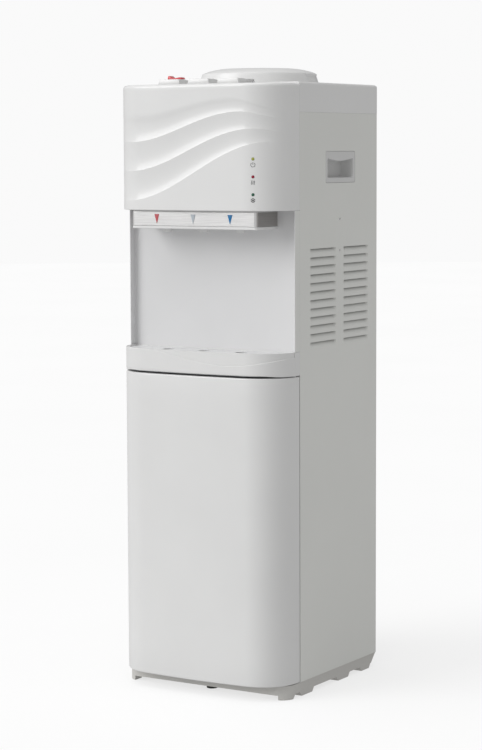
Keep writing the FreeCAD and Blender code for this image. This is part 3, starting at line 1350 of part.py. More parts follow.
def nodes():
    """Every piece by name."""
    drains = drain_places()
    switches = switch_places()
    table = {
        "base_tray": base_tray(), "rubber_foot": rubber_foot(), "right_side_panel": right_side_panel(),
        "left_side_panel": left_side_panel(), "case_screws": case_screws(), "rear_panel": rear_panel(),
        "mid_shelf": mid_shelf(), "hinge_pins": hinge_pins(), "cabinet_back": cabinet_back(),
        "door_outer": door_outer(), "door_inner": door_inner(),
        "door_magnet": door_magnet(), "tray_bezel": tray_bezel(), "drip_tray": drip_tray(),
        "drip_grate": drip_grate(), "niche_panel": niche_panel(), "tap_housing": tap_housing(),
        "trim_strip": trim_strip(), "taps": Part.makeCompound([tap(x) for x in TAPS.values()]),
        "tap_markers": Part.makeCompound([tap_marker(x) for x in TAPS.values()]),
        "head_front_panel": head_front_panel(), "head_base": head_base(),
        "indicator_lights": indicator_lights(), "indicator_board": indicator_board(),
        "top_cover": top_cover(), "right_grip": grip(1), "left_grip": grip(-1),
        "button_plinth": button_plinth(), "button_axle": button_axle(), "button_hot": hot_button(),
        "button_room": button(BUTTONS["room"]), "button_cold": button(BUTTONS["cold"]),
        "child_lock": child_lock(), "bottle_collar": bottle_collar(), "bottle_probe": bottle_probe(),
        "neck_seal": neck_seal(), "cold_tank": cold_tank(),
        "cold_foam": cold_foam(), "tank_shelf": tank_shelf(), "cold_block": cold_block(),
        "cooling_module": cooling_module(), "heat_sink": heat_sink(), "fan_frame": fan_frame(),
        "fan_rotor": fan_rotor(), "fan_grille": fan_grille(), "hot_tank": hot_tank(),
        "heating_parts": heating_parts(), "hot_foam": hot_foam(), "water_tubes": water_tubes(),
        "drain_bezel": drain_bezel(),
        "drain_plug_hot": drain_plug(drains["hot"][0]), "drain_plug_cold": drain_plug(drains["cold"][0]),
        "switch_frames": switch_frames(), "rocker_hot": rocker(*switches["hot"]),
        "rocker_cold": rocker(*switches["cold"]), "cord_gland": cord_gland(), "power_board": power_board(),
    }
    for name, x in TAPS.items():
        table["push_rod_" + name] = push_rod(x)
    return table


def main():
    os.makedirs("parts", exist_ok=True)
    for name, shape in nodes().items():
        shape.exportStep(os.path.join("parts", name + ".step"))


main()
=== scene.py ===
"""Looks of a floor-standing water dispenser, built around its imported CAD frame.

Lengths in the classes are metres, in the frame's own axes: +Z up, the front towards -Y.
"""

from __future__ import annotations

import json
import logging
from dataclasses import dataclass
from enum import Enum
from math import asin, atan2, cos, degrees, hypot, pi, radians, sin, tau
from typing import Callable, Sequence

import bmesh
import bpy
from mathutils import Matrix, Vector

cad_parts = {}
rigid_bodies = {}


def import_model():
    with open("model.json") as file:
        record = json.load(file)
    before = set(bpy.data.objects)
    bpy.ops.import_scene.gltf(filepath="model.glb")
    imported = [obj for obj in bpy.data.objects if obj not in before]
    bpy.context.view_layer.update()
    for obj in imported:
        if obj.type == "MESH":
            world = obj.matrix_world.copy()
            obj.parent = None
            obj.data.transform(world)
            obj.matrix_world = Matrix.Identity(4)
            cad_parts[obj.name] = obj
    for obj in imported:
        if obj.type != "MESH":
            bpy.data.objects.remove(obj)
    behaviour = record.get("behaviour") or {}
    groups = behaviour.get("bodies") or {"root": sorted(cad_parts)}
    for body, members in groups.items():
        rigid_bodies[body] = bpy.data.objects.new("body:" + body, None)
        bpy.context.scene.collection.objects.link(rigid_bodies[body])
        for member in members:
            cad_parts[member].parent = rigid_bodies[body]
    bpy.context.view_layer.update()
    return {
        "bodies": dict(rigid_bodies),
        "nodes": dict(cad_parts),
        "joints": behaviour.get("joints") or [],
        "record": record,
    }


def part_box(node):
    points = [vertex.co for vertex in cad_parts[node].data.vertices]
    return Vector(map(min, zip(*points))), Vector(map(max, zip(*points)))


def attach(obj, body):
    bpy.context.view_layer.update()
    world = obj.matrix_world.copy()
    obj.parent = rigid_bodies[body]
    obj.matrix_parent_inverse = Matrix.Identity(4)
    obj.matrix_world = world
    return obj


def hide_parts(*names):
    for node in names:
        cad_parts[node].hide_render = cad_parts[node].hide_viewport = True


LOG = logging.getLogger("dispenser")
Material = bpy.types.Material
Numbers = Sequence[float]
Piece = bpy.types.Object
Socket = bpy.types.NodeSocket
Test = Callable[[Vector, Vector], bool]
FINISH_SUFFIX = "_finish"


# ---- materials

class Nodes:
    """A short hand for wiring one material's nodes."""

    def __init__(self, name: str) -> None:
        """Start a material of this name, which holds one Principled shader."""
        self.material = bpy.data.materials.new(name + FINISH_SUFFIX)
        self.material.use_nodes = True
        self.tree = self.material.node_tree
        self.shader = self.tree.nodes["Principled BSDF"]

    def fill(self, socket: Socket, value: object) -> None:
        """Link a socket to an output, or set its value."""
        if isinstance(value, Socket):
            self.tree.links.new(value, socket)
        else:
            socket.default_value = value

    def add(self, kind: str, **sockets: object) -> bpy.types.Node:
        """Add a node and fill or link its inputs.

        Args:
            kind: the node's type name after "ShaderNode".
            **sockets: input names, with underscores for spaces, to a value or an output socket.

        Returns:
            The new node.
        """
        node = self.tree.nodes.new("ShaderNode" + kind)
        for name, value in sockets.items():
            self.fill(node.inputs[name.replace("_", " ")], value)
        return node

    def set(self, **sockets: object) -> None:
        """Fill or link the shader's own inputs by name."""
        for name, value in sockets.items():
            self.fill(self.shader.inputs[name.replace("_", " ")], value)

    def math(self, operation: str, first: object, second: object) -> Socket:
        """Return the result of one Math node."""
        node = self.tree.nodes.new("ShaderNodeMath")
        node.operation = operation
        self.fill(node.inputs[0], first)
        self.fill(node.inputs[1], second)
        return node.outputs[0]

    def tint(self, pattern: Socket, colour: Numbers, shade: float,
             low: float = 0.3, high: float = 0.7) -> None:
        """Colour the surface by a pattern, from a darker shade up to the colour itself.

        Args:
            pattern: what drives the colour, from 0 to 1.
            colour: the full colour.
            shade: the darker shade, as a share of the full colour.
            low: where on the pattern the change starts.
            high: where it ends.
        """
        ramp = self.add("ValToRGB", Fac=pattern)
        first, last = ramp.color_ramp.elements
        first.position, first.color = low, (*(c * shade for c in colour), 1.0)
        last.position, last.color = high, (*colour, 1.0)
        self.set(Base_Color=ramp.outputs["Color"])

    def place(self, scale: Numbers = (1.0, 1.0, 1.0)) -> Socket:
        """Return the object coordinates, scaled per axis."""
        return self.add("Mapping", Vector=self.add("TexCoord").outputs["Object"], Scale=scale).outputs["Vector"]

    def noise(self, scale: float, detail: float = 2.0, stretch: Numbers = (1.0, 1.0, 1.0)) -> Socket:
        """Return a noise pattern in object space."""
        return self.add("TexNoise", Vector=self.place(stretch), Scale=scale, Detail=detail).outputs["Fac"]

    def spread(self, value: Socket, low: float, high: float) -> Socket:
        """Return a 0 to 1 pattern moved into the range low to high."""
        return self.add("MapRange", Value=value, To_Min=low, To_Max=high).outputs["Result"]

    def bump(self, height: Socket, depth: float) -> None:
        """Give the shader a bump of some depth in metres."""
        self.set(Normal=self.add("Bump", Height=height, Distance=depth, Strength=1.0).outputs["Normal"])


@dataclass(frozen=True)
class Surface:
    """What every finish has: a name, a colour and its own way to wire the nodes."""

    name: str
    colour: tuple[float, float, float]

    def make(self) -> Material:
        """Return the finished material."""
        n = Nodes(self.name)
        self.wire(n)
        return n.material

    def wire(self, n: Nodes) -> None:
        """Wire the nodes of this kind of finish."""
        raise NotImplementedError


@dataclass(frozen=True)
class Moulded(Surface):
    """Moulded plastic: slight cloudiness, a fine grain and a gloss that varies a little."""

    roughness: float = 0.32
    grain: float = 0.000006
    grain_scale: float = 1400.0
    coat: float = 0.0

    def wire(self, n: Nodes) -> None:
        """Wire the cloud, the gloss and the grain."""
        n.tint(n.noise(9.0, 3.0), self.colour, 0.97)
        n.set(Roughness=n.spread(n.noise(34.0, 4.0), self.roughness * 0.88, self.roughness * 1.14))
        n.set(Coat_Weight=self.coat, Coat_Roughness=0.12)
        n.bump(n.noise(self.grain_scale), self.grain)


@dataclass(frozen=True)
class Painted(Surface):
    """Powder-coated sheet: orange peel over a faint waviness of the sheet itself."""

    roughness: float = 0.36

    def wire(self, n: Nodes) -> None:
        """Wire the colour, the gloss and the peel."""
        n.tint(n.noise(5.0, 4.0), self.colour, 0.97)
        n.set(Roughness=n.spread(n.noise(60.0, 3.0), self.roughness * 0.9, self.roughness * 1.15))
        n.set(Coat_Weight=0.15, Coat_Roughness=0.2)
        peel = n.math("MULTIPLY_ADD", n.noise(650.0), 0.5)
        n.bump(n.math("ADD", peel, n.noise(14.0, 1.0)), 0.00001)


@dataclass(frozen=True)
class Brushed(Surface):
    """Metal with fine lines along one axis."""

    along: str = "X"
    roughness: float = 0.28
    lines: float = 2600.0
    depth: float = 0.000012

    def wire(self, n: Nodes) -> None:
        """Wire one streaky pattern into the colour, the gloss and the relief."""
        streak = n.noise(self.lines, 3.0, [0.01 if axis == self.along else 1.0 for axis in "XYZ"])
        n.tint(streak, self.colour, 0.86, 0.35, 0.65)
        n.set(Roughness=n.spread(streak, self.roughness * 0.8, self.roughness * 1.25), Metallic=1.0)
        n.bump(streak, self.depth)


@dataclass(frozen=True)
class Galvanised(Surface):
    """Zinc-coated sheet with its spangle."""

    def wire(self, n: Nodes) -> None:
        """Wire the spangle into the colour and the gloss."""
        cells = n.add("TexVoronoi", Vector=n.place(), Scale=90.0).outputs["Color"]
        grey = n.add("RGBToBW", Color=cells).outputs["Val"]
        n.tint(grey, self.colour, 0.8, 0.2, 0.8)
        n.set(Roughness=n.spread(grey, 0.38, 0.5), Metallic=0.9)
        n.bump(n.noise(300.0), 0.00001)


@dataclass(frozen=True)
class Soft(Surface):
    """Rubber, silicone or foam: matt, with a skin of some coarseness."""

    roughness: float = 0.75
    cell: float = 700.0
    depth: float = 0.00003
    beads: bool = False

    def wire(self, n: Nodes) -> None:
        """Wire the skin, of beads or of fine grain."""
        if self.beads:
            pattern = n.add("TexVoronoi", Vector=n.place(), Scale=self.cell).outputs["Distance"]
        else:
            pattern = n.noise(self.cell, 3.0)
        n.tint(pattern, self.colour, 0.84, 0.2, 0.75)
        n.set(Roughness=n.spread(n.noise(40.0), self.roughness * 0.9, min(1.0, self.roughness * 1.1)))
        n.bump(pattern, self.depth)


@dataclass(frozen=True)
class Lens(Surface):
    """Clear coloured lens of an indicator light, with a faint glow."""

    glow: float = 0.35

    def wire(self, n: Nodes) -> None:
        """Wire the specks, the glow and the clear coat."""
        speck = n.noise(900.0)
        n.tint(speck, self.colour, 0.7)
        n.set(Roughness=0.12, Coat_Weight=0.6, Transmission_Weight=0.15)
        n.set(Emission_Color=(*self.colour, 1.0), Emission_Strength=self.glow)
        n.bump(speck, 0.000004)


class Finish(Enum):
    """Every finish of the dispenser."""

    WHITE = Moulded("white_plastic", (0.775, 0.775, 0.77), 0.30, coat=0.25)
    DOOR = Moulded("door_plastic", (0.745, 0.745, 0.74), 0.33, coat=0.2)
    NICHE = Moulded("niche_plastic", (0.73, 0.73, 0.735), 0.42)
    STEEL = Painted("white_steel", (0.755, 0.76, 0.73))
    BASE = Moulded("base_plastic", (0.60, 0.59, 0.565), 0.5, 0.00002, 900.0)
    TRIM = Brushed("brushed_trim", (0.90, 0.895, 0.89), "X", 0.30)
    # a darker copy of the trim for the strip's end faces: painted shade and painted reflection of dark
    # surroundings
    TRIM_SIDE = Brushed("brushed_trim_end_painted_shade", (0.50, 0.485, 0.47), "Y", 0.3)
    RED = Moulded("hot_red_plastic", (0.62, 0.035, 0.045), 0.25, coat=0.4)
    PRINT_RED = Moulded("print_red", (0.56, 0.085, 0.10), 0.35)
    PRINT_PALE = Moulded("print_pale", (0.50, 0.55, 0.60), 0.35)
    PRINT_BLUE = Moulded("print_blue", (0.0, 0.17, 0.42), 0.35)
    PRINT_DARK = Moulded("print_dark", (0.022, 0.022, 0.026), 0.4)
    GRIP = Moulded("grip_plastic", (0.66, 0.66, 0.655), 0.40)
    DARK = Moulded("dark_plastic", (0.035, 0.035, 0.038), 0.45, 0.00002, 900.0)
    ZINC = Galvanised("zinc_sheet", (0.62, 0.63, 0.64))
    STAINLESS = Brushed("stainless", (0.66, 0.66, 0.66), "Z", 0.3)
    ALLOY = Brushed("alloy", (0.78, 0.79, 0.80), "Z", 0.34, 1500.0)
    PLATED = Brushed("plated_steel", (0.72, 0.72, 0.73), "Z", 0.2, 4000.0, 0.000004)
    CERAMIC = Moulded("ceramic", (0.86, 0.86, 0.84), 0.6, 0.00003, 600.0)
    MAGNET = Moulded("magnet", (0.09, 0.08, 0.075), 0.7, 0.00005, 500.0)
    BOARD = Moulded("circuit_board", (0.02, 0.16, 0.06), 0.3, coat=0.4)
    RUBBER = Soft("black_rubber", (0.035, 0.035, 0.035))
    SILICONE = Soft("silicone", (0.72, 0.72, 0.69), 0.5)
    FOAM = Soft("bead_foam", (0.82, 0.80, 0.74), 0.9, 260.0, 0.0004, True)
    GREEN_LENS = Lens("lens_green", (0.34, 0.36, 0.05), 0.15)
    RED_LENS = Lens("lens_red", (0.30, 0.004, 0.03), 0.12)
    TEAL_LENS = Lens("lens_teal", (0.03, 0.12, 0.075), 0.12)

    def material(self) -> Material:
        """Return this finish's material, made once."""
        return bpy.data.materials.get(self.value.name + FINISH_SUFFIX) or self.value.make()


# ---- work on the bench

def only(obj: Piece) -> None:
    """Leave one object selected and active, in object mode."""
    if bpy.context.object and bpy.context.object.mode != "OBJECT":
        bpy.ops.object.mode_set(mode="OBJECT")
    bpy.ops.object.select_all(action="DESELECT")
    obj.select_set(True)
    bpy.context.view_layer.objects.active = obj


def named(name: str) -> Piece:
    """Name the primitive that was just added, and settle its place into its mesh."""
    obj = bpy.context.object
    obj.name = obj.data.name = name
    only(obj)
    bpy.ops.object.transform_apply(location=True, rotation=True, scale=True)
    return obj


def block(name: str, low: Numbers, high: Numbers) -> Piece:
    """Add a box.

    Args:
        name: the new object's name.
        low: its lowest corner.
        high: its highest corner.

    Returns:
        The box.
    """
    bpy.ops.object.select_all(action="DESELECT")
    middle = [(a + b) / 2 for a, b in zip(low, high)]
    bpy.ops.mesh.primitive_cube_add(size=1.0, location=middle)
    bpy.context.object.scale = [b - a for a, b in zip(low, high)]
    return named(name)


def drum(name: str, start: Numbers, end: Numbers, radius: float, sides: int = 48) -> Piece:
    """Add a cylinder from start to end."""
    bpy.ops.object.select_all(action="DESELECT")
    a, b = Vector(start), Vector(end)
    bpy.ops.mesh.primitive_cylinder_add(vertices=sides, radius=radius, depth=(b - a).length,
                                        location=(a + b) / 2)
    bpy.context.object.rotation_euler = (b - a).to_track_quat("Z", "Y").to_euler()
    return named(name)


def edit(obj: Piece) -> None:
    """Enter edit mode with everything selected."""
    only(obj)
    bpy.ops.object.mode_set(mode="EDIT")
    bpy.ops.mesh.select_mode(type="VERT")
    bpy.ops.mesh.select_all(action="SELECT")


def chain(name: str, points: Sequence[Numbers]) -> Piece:
    """Add one vertex, extrude it from point to point and back to the first.

    Args:
        name: the new object's name.
        points: the corners of the closed line.

    Returns:
        An object that holds the line; it is in object mode.
    """
    bpy.ops.object.select_all(action="DESELECT")
    bpy.ops.mesh.primitive_plane_add(size=0.01, location=points[0])
    obj = named(name)
    edit(obj)
    bpy.ops.mesh.merge(type="CENTER")
    here = Vector(points[0])
    for point in [*points[1:], points[0]]:
        bpy.ops.mesh.extrude_vertices_move(TRANSFORM_OT_translate={"value": Vector(point) - here})
        here = Vector(point)
    bpy.ops.object.mode_set(mode="OBJECT")
    return obj


def turned(name: str, profile: Sequence[tuple[float, float]], centre: Numbers, steps: int) -> Piece:
    """Spin a profile about a vertical axis into a closed solid of revolution.

    Args:
        name: the new object's name.
        profile: (radius, height) pairs; its two ends are joined.
        centre: a point on the axis, from which heights count.
        steps: how many steps make the turn.

    Returns:
        The turned object.
    """
    cx, cy, cz = centre
    obj = chain(name, [(cx + r, cy, cz + h) for r, h in profile])
    edit(obj)
    bpy.ops.mesh.spin(steps=steps, angle=tau, center=centre, axis=(0, 0, 1))
    return closed(obj)


def plate(name: str, points: Sequence[Numbers], push: Numbers) -> Piece:
    """Fill a closed line of points and extrude the face.

    Args:
        name: the new object's name.
        points: the line's corners, in order round the face.
        push: the way and length of the extrusion.

    Returns:
        The closed solid.
    """
    obj = chain(name, points)
    edit(obj)
    bpy.ops.mesh.remove_doubles(threshold=0.000001)
    bpy.ops.mesh.select_all(action="SELECT")
    bpy.ops.mesh.edge_face_add()
    bpy.ops.mesh.select_all(action="SELECT")
    bpy.ops.mesh.extrude_region_move(TRANSFORM_OT_translate={"value": push})
    return closed(obj)


def closed(obj: Piece, distance: float = 0.000005) -> Piece:
    """Merge doubles and turn every face outwards."""
    edit(obj)
    bpy.ops.mesh.remove_doubles(threshold=distance)
    bpy.ops.mesh.dissolve_degenerate(threshold=distance)
    bpy.ops.mesh.normals_make_consistent(inside=False)
    bpy.ops.object.mode_set(mode="OBJECT")
    return obj


def pick(obj: Piece, kind: str, test: Test) -> None:
    """Enter edit mode with only the faces or edges selected that pass a test.

    Args:
        obj: the object.
        kind: FACE or EDGE.
        test: takes a part's middle and its normal or direction.
    """
    edit(obj)
    bpy.ops.mesh.select_mode(type=kind)
    bpy.ops.mesh.select_all(action="DESELECT")
    mesh = bmesh.from_edit_mesh(obj.data)
    for part in mesh.faces if kind == "FACE" else mesh.edges:
        middle = sum((v.co for v in part.verts), Vector()) / len(part.verts)
        way = part.normal if kind == "FACE" else (part.verts[1].co - part.verts[0].co).normalized()
        if test(middle, way):
            part.select_set(True)
    bmesh.update_edit_mesh(obj.data)


def modify(obj: Piece, kind: str, **settings: object) -> Piece:
    """Add one modifier with its settings and apply it."""
    only(obj)
    modifier = obj.modifiers.new(kind.lower(), kind)
    for name, value in settings.items():
        setattr(modifier, name, value)
    bpy.ops.object.modifier_apply(modifier=modifier.name)
    return obj


def carve(obj: Piece, cutter: Piece) -> None:
    """Cut one object out of another, and throw the cutter away."""
    modify(obj, "BOOLEAN", operation="DIFFERENCE", solver="EXACT", object=cutter)
    bpy.data.objects.remove(cutter, do_unlink=True)


def soften(obj: Piece, width: float, segments: int = 2, angle: float = 35.0) -> Piece:
    """Break every sharp edge with a small round."""
    return modify(obj, "BEVEL", width=width, segments=segments, limit_method="ANGLE",
                  angle_limit=radians(angle), harden_normals=False, use_clamp_overlap=True)


def smooth(obj: Piece, angle: float = 32.0) -> Piece:
    """Shade smooth, with edges sharper than an angle kept crisp."""
    only(obj)
    bpy.ops.object.shade_smooth_by_angle(angle=radians(angle))
    return obj


def weighted(obj: Piece) -> Piece:
    """Shade smooth, with flat faces kept flat and the rounds between them taking the turn."""
    only(obj)
    bpy.ops.object.shade_smooth()
    return modify(obj, "WEIGHTED_NORMAL", weight=100, keep_sharp=True)


def joined(name: str, pieces: Sequence[Piece]) -> Piece:
    """Join several objects into one."""
    only(pieces[0])
    for piece in pieces[1:]:
        piece.select_set(True)
    bpy.ops.object.join()
    obj = bpy.context.object
    obj.name = obj.data.name = name
    return obj


def lofted(name: str, rows: Sequence[Sequence[Vector]]) -> Piece:
    """Bend a primitive grid so that it passes through rows of points.

    Args:
        name: the new object's name.
        rows: equally long rows, from the first edge of the sheet to its last.

    Returns:
        The open sheet.
    """
    bpy.ops.object.select_all(action="DESELECT")
    across, along = len(rows[0]) - 1, len(rows) - 1
    bpy.ops.mesh.primitive_grid_add(x_subdivisions=across, y_subdivisions=along, size=1.0)
    obj = named(name)
    for vertex, point in zip(obj.data.vertices, (p for row in rows for p in row)):
        vertex.co = point
    obj.data.update()
    return obj


def dress(obj: Piece, finish: Finish, body: str, node: str = "") -> None:
    """Give a piece its finish, its body and the CAD node that it stands for.

    Args:
        obj: the finished piece.
        finish: its finish.
        body: the body that it rides on.
        node: the CAD node that it replaces, if it does.
    """
    obj.data.materials.clear()
    obj.data.materials.append(finish.material())
    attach(obj, body)
    if node:
        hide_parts(node)
    LOG.info("%s: %d faces on %s", obj.name, len(obj.data.polygons), body)


def partly(obj: Piece, finish: Finish, test: Test) -> None:
    """Give a second finish to the faces whose centre and normal pass a test."""
    obj.data.materials.append(finish.material())
    for face in obj.data.polygons:
        if test(face.center, face.normal):
            face.material_index = len(obj.data.materials) - 1


@dataclass
class Shop:
    """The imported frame, whose nodes get a finish or a softened copy."""

    frame: dict

    def body(self, node: str) -> str:
        """Return the body that a node rides on."""
        bodies = self.frame["record"]["behaviour"]["bodies"]
        return next(body for body, nodes in bodies.items() if node in nodes)

    def recolour(self, node: str, finish: Finish) -> None:
        """Give a CAD node, whose shape stays, one of the finishes."""
        obj = self.frame["nodes"][node]
        obj.data.materials.clear()
        obj.data.materials.append(finish.material())

    def refined(self, node: str, finish: Finish, width: float = 0.0006) -> Piece:
        """Stand a copy of a CAD node in its place, welded, with its edges softened.

        Args:
            node: the CAD node.
            finish: the copy's finish.
            width: the round on its edges.

        Returns:
            The new piece.
        """
        obj = bpy.data.objects.new(node + "_skin", self.frame["nodes"][node].data.copy())
        bpy.context.collection.objects.link(obj)
        only(obj)
        if obj.data.has_custom_normals:
            bpy.ops.mesh.customdata_custom_splitnormals_clear()
        edit(obj)
        bpy.ops.mesh.remove_doubles(threshold=0.000002)
        bpy.ops.mesh.dissolve_limited(angle_limit=radians(1.0))
        soften(obj, width, 2, 32.0)
        weighted(obj)
        dress(obj, finish, self.body(node), node)
        return obj


# ---- the body's outline

@dataclass(frozen=True)
class Outline:
    """Plan of the body: straight sides, rounded front corners and a slightly bowed front."""

    half: float = 0.155
    front: float = -0.1655
    corner: float = 0.064
    bow: float = 1.185
    back: float = -0.0903
    setback: float = 0.0
    corner_steps: int = 20
    front_steps: int = 60

    @property
    def turn(self) -> float:
        """Return the angle at which the bow meets a corner."""
        return asin((self.half - self.corner) / (self.bow - self.corner))

    @property
    def bow_y(self) -> float:
        """Return the Y of the bow's centre."""
        return self.front + self.setback + self.bow

    @property
    def corner_y(self) -> float:
        """Return the corner centre's Y."""
        return self.bow_y - (self.bow - self.corner) * cos(self.turn)

    def ring(self, inset: float = 0.0, level: float = 0.0) -> list[Vector]:
        """Return the outline from the right rear round the front to the left rear.

        Args:
            inset: how far the points are moved inwards.
            level: their height.

        Returns:
            The points.
        """
        sides, big = 3, self.bow - inset
        straight = [self.back + (self.corner_y - self.back) * i / sides for i in range(sides)]
        right = [Vector((self.half - inset, y, level)) for y in straight]
        for i in range(self.corner_steps):
            angle = (pi / 2 - self.turn) * i / self.corner_steps
            right.append(self.at_corner(angle, self.corner - inset, level))
        angles = [self.turn * (1 - 2 * i / self.front_steps) for i in range(self.front_steps + 1)]
        middle = [Vector((big * sin(a), self.bow_y - big * cos(a), level)) for a in angles]
        return right + middle + [Vector((-p.x, p.y, level)) for p in reversed(right)]

    def rear(self, inset: float, level: float) -> list[Vector]:
        """Return the ring's points, each moved straight back to the outline's rear line."""
        return [Vector((p.x, self.back, level)) for p in self.ring(inset)]

    def at_corner(self, angle: float, radius: float, level: float) -> Vector:
        """Return a point about the right corner's centre; angle 0 looks along +X and grows to the front."""
        x = self.half - self.corner + radius * cos(angle)
        return Vector((x, self.corner_y - radius * sin(angle), level))

    def out(self, point: Vector) -> Vector:
        """Return the outward direction at a point of the outline."""
        side = 1.0 if point.x >= 0 else -1.0
        if point.y >= self.corner_y:
            return Vector((side, 0, 0))
        if abs(point.x) > self.bow * sin(self.turn):
            centre_x = side * (self.half - self.corner)
            return Vector((point.x - centre_x, point.y - self.corner_y, 0)).normalized()
        return Vector((point.x, point.y - self.bow_y, 0)).normalized()


def swung(t: float) -> float:
    """Return how far half a cosine has risen at t, from 0 at 0 to 1 at 1."""
    return (1 - cos(pi * t)) / 2


def eased(t: float) -> float:
    """Return t, held in 0 to 1, with a soft start and end."""
    t = max(0.0, min(1.0, t))
    return t * t * (3 - 2 * t)


def quarter(count: int) -> list[tuple[float, float]]:
    """Return (sine, cosine) pairs over a quarter turn, both ends included."""
    return [(sin(pi / 2 * i / count), cos(pi / 2 * i / count)) for i in range(count + 1)]


def walled(obj: Piece, wall: float, outward: bool) -> Piece:
    """Give an open sheet its wall on the inner side.

    Args:
        obj: the sheet.
        wall: its thickness.
        outward: whether its faces look outwards now.

    Returns:
        The closed shell.
    """
    modify(obj, "SOLIDIFY", thickness=wall, offset=-1.0 if outward else 1.0, use_rim=True)
    return closed(obj)


def thickened(obj: Piece, wall: float) -> Piece:
    """Close the seams of a sheet on the outline, and give it its wall."""
    closed(obj)
    front = min(obj.data.polygons, key=lambda f: f.center.y)
    return walled(obj, wall, front.normal.y < 0)


# ---- head

@dataclass(frozen=True)
class Wave:
    """A crest line that rises across the front and falls a little past its peak."""

    start_x: float
    end_x: float
    low: float
    high: float
    fall: float

    def level(self, x: float) -> float:
        """Return the line's height at x."""
        t = max(0.0, min(1.0, (x - self.start_x) / (self.end_x - self.start_x)))
        level = self.low + (self.high - self.low) * swung(t)
        if x > self.end_x:
            level -= self.fall * swung((x - self.end_x) / (0.155 - self.end_x))
        return level


CAP_STEPS = (0.012, 0.024, 0.036, 0.048, 0.058, 0.0632)


@dataclass
class HeadShell:
    """Front panel of the head with three scooped waves, its deck and the holes in it."""

    outline: Outline = Outline(back=-0.0885, corner_steps=26, front_steps=96)
    wall: float = 0.0024
    low: float = 0.7700
    deck: float = 0.9665
    fillet: float = 0.0055
    lip: float = 0.0012
    bay_low: tuple[float, float] = (-0.0777, -0.1383)
    bay_high: tuple[float, float] = (0.0777, -0.0800)
    waves: tuple[Wave, ...] = (
        Wave(-0.095, 0.075, 0.9220, 0.9455, 0.018),
        Wave(-0.112, 0.092, 0.8770, 0.9228, 0.011),
        Wave(-0.115, 0.115, 0.8315, 0.8965, 0.006),
        Wave(-0.120, 0.145, 0.7850, 0.8770, 0.000),
    )
    scoop: float = 0.047
    band_rows: int = 18
    lamp_angle: float = 70.4

    def depth(self, x: float, share: float, height: float) -> float:
        """Return how far the surface sinks in a band.

        Args:
            x: where along the front.
            share: 0 at the band's lower crest, 1 at its upper one.
            height: the band's height there.

        Returns:
            The depth below the flush surface.
        """
        fade = eased((0.152 - x) / 0.030) * eased((x + 0.152) / 0.045)
        return self.scoop * height * fade * max(0.0, sin(pi * share ** 0.8))

    def rows(self) -> list[list[Vector]]:
        """Return the sheet's rows, from its lower lip up the front and across the deck."""
        base = self.outline.ring()
        rows = [self.outline.ring(self.lip * (1 - sine), self.low + self.lip * (1 - cosine))
                for sine, cosine in quarter(3)]
        floor, ceiling = self.low + self.lip, self.deck - self.fillet
        for i in range(1, 10):
            rows.append([Vector((*p.xy, floor + (self.waves[3].level(p.x) - floor) * i / 10)) for p in base])
        for lower, upper in zip(reversed(self.waves[1:]), reversed(self.waves[:-1])):
            for i in range(self.band_rows):
                rows.append([self.band_point(p, lower, upper, swung(i / self.band_rows)) for p in base])
        for share in (i / 7 for i in range(7)):
            rows.append([Vector((*p.xy, self.waves[0].level(p.x) * (1 - share) + ceiling * share)) for p in base])
        rows += [self.outline.ring(self.fillet * (1 - cosine), ceiling + self.fillet * sine)
                 for sine, cosine in quarter(8)]
        rows += [self.outline.ring(inset, self.deck) for inset in CAP_STEPS]
        return [*rows, self.outline.rear(CAP_STEPS[-1], self.deck)]

    def band_point(self, point: Vector, lower: Wave, upper: Wave, share: float) -> Vector:
        """Return one point of a scooped band."""
        z0, z1 = lower.level(point.x), upper.level(point.x)
        soft = eased((1 - share) / 0.35) if upper is self.waves[0] else 1.0
        sunk = self.outline.out(point) * self.depth(point.x, share, z1 - z0) * soft
        return Vector((point.x - sunk.x, point.y - sunk.y, z0 + (z1 - z0) * share))

    def build(self) -> None:
        """Make the shell and cut its openings."""
        obj = thickened(lofted("head_shell", self.rows()), self.wall)
        carve(obj, block("bay_cut", (*self.bay_low, self.deck - 0.01), (*self.bay_high, self.deck + 0.01)))
        for place, out in self.lamps():
            carve(obj, drum("lamp_cut", place - out * 0.006, place + out * 0.004, 0.00255, 32))
        smooth(obj, 12.5)
        dress(obj, Finish.WHITE, "cabinet", "head_front_panel")

    def lamps(self) -> list[tuple[Vector, Vector]]:
        """Return the place and outward direction of each indicator light."""
        low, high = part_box("indicator_lights")
        levels = [high[2] - 0.0024, (low[2] + high[2]) / 2, low[2] + 0.0024]
        angle = radians(self.lamp_angle)
        out = Vector((cos(angle), -sin(angle), 0))
        return [(self.outline.at_corner(angle, self.outline.corner, z), out) for z in levels]


# ---- shells on the body's outline

def swoosh(x: float) -> float:
    """Return how far the tray's lower edge lies below its rim at x."""
    start, low, rise, deep, end = -0.105, 0.060, 0.001, 0.0201, 0.0077
    if x <= low:
        return (deep + rise) * swung(max(0.0, (x - start) / (low - start))) - rise
    share = (x - low) / (0.155 - low)
    return deep - (deep - end) * share * share


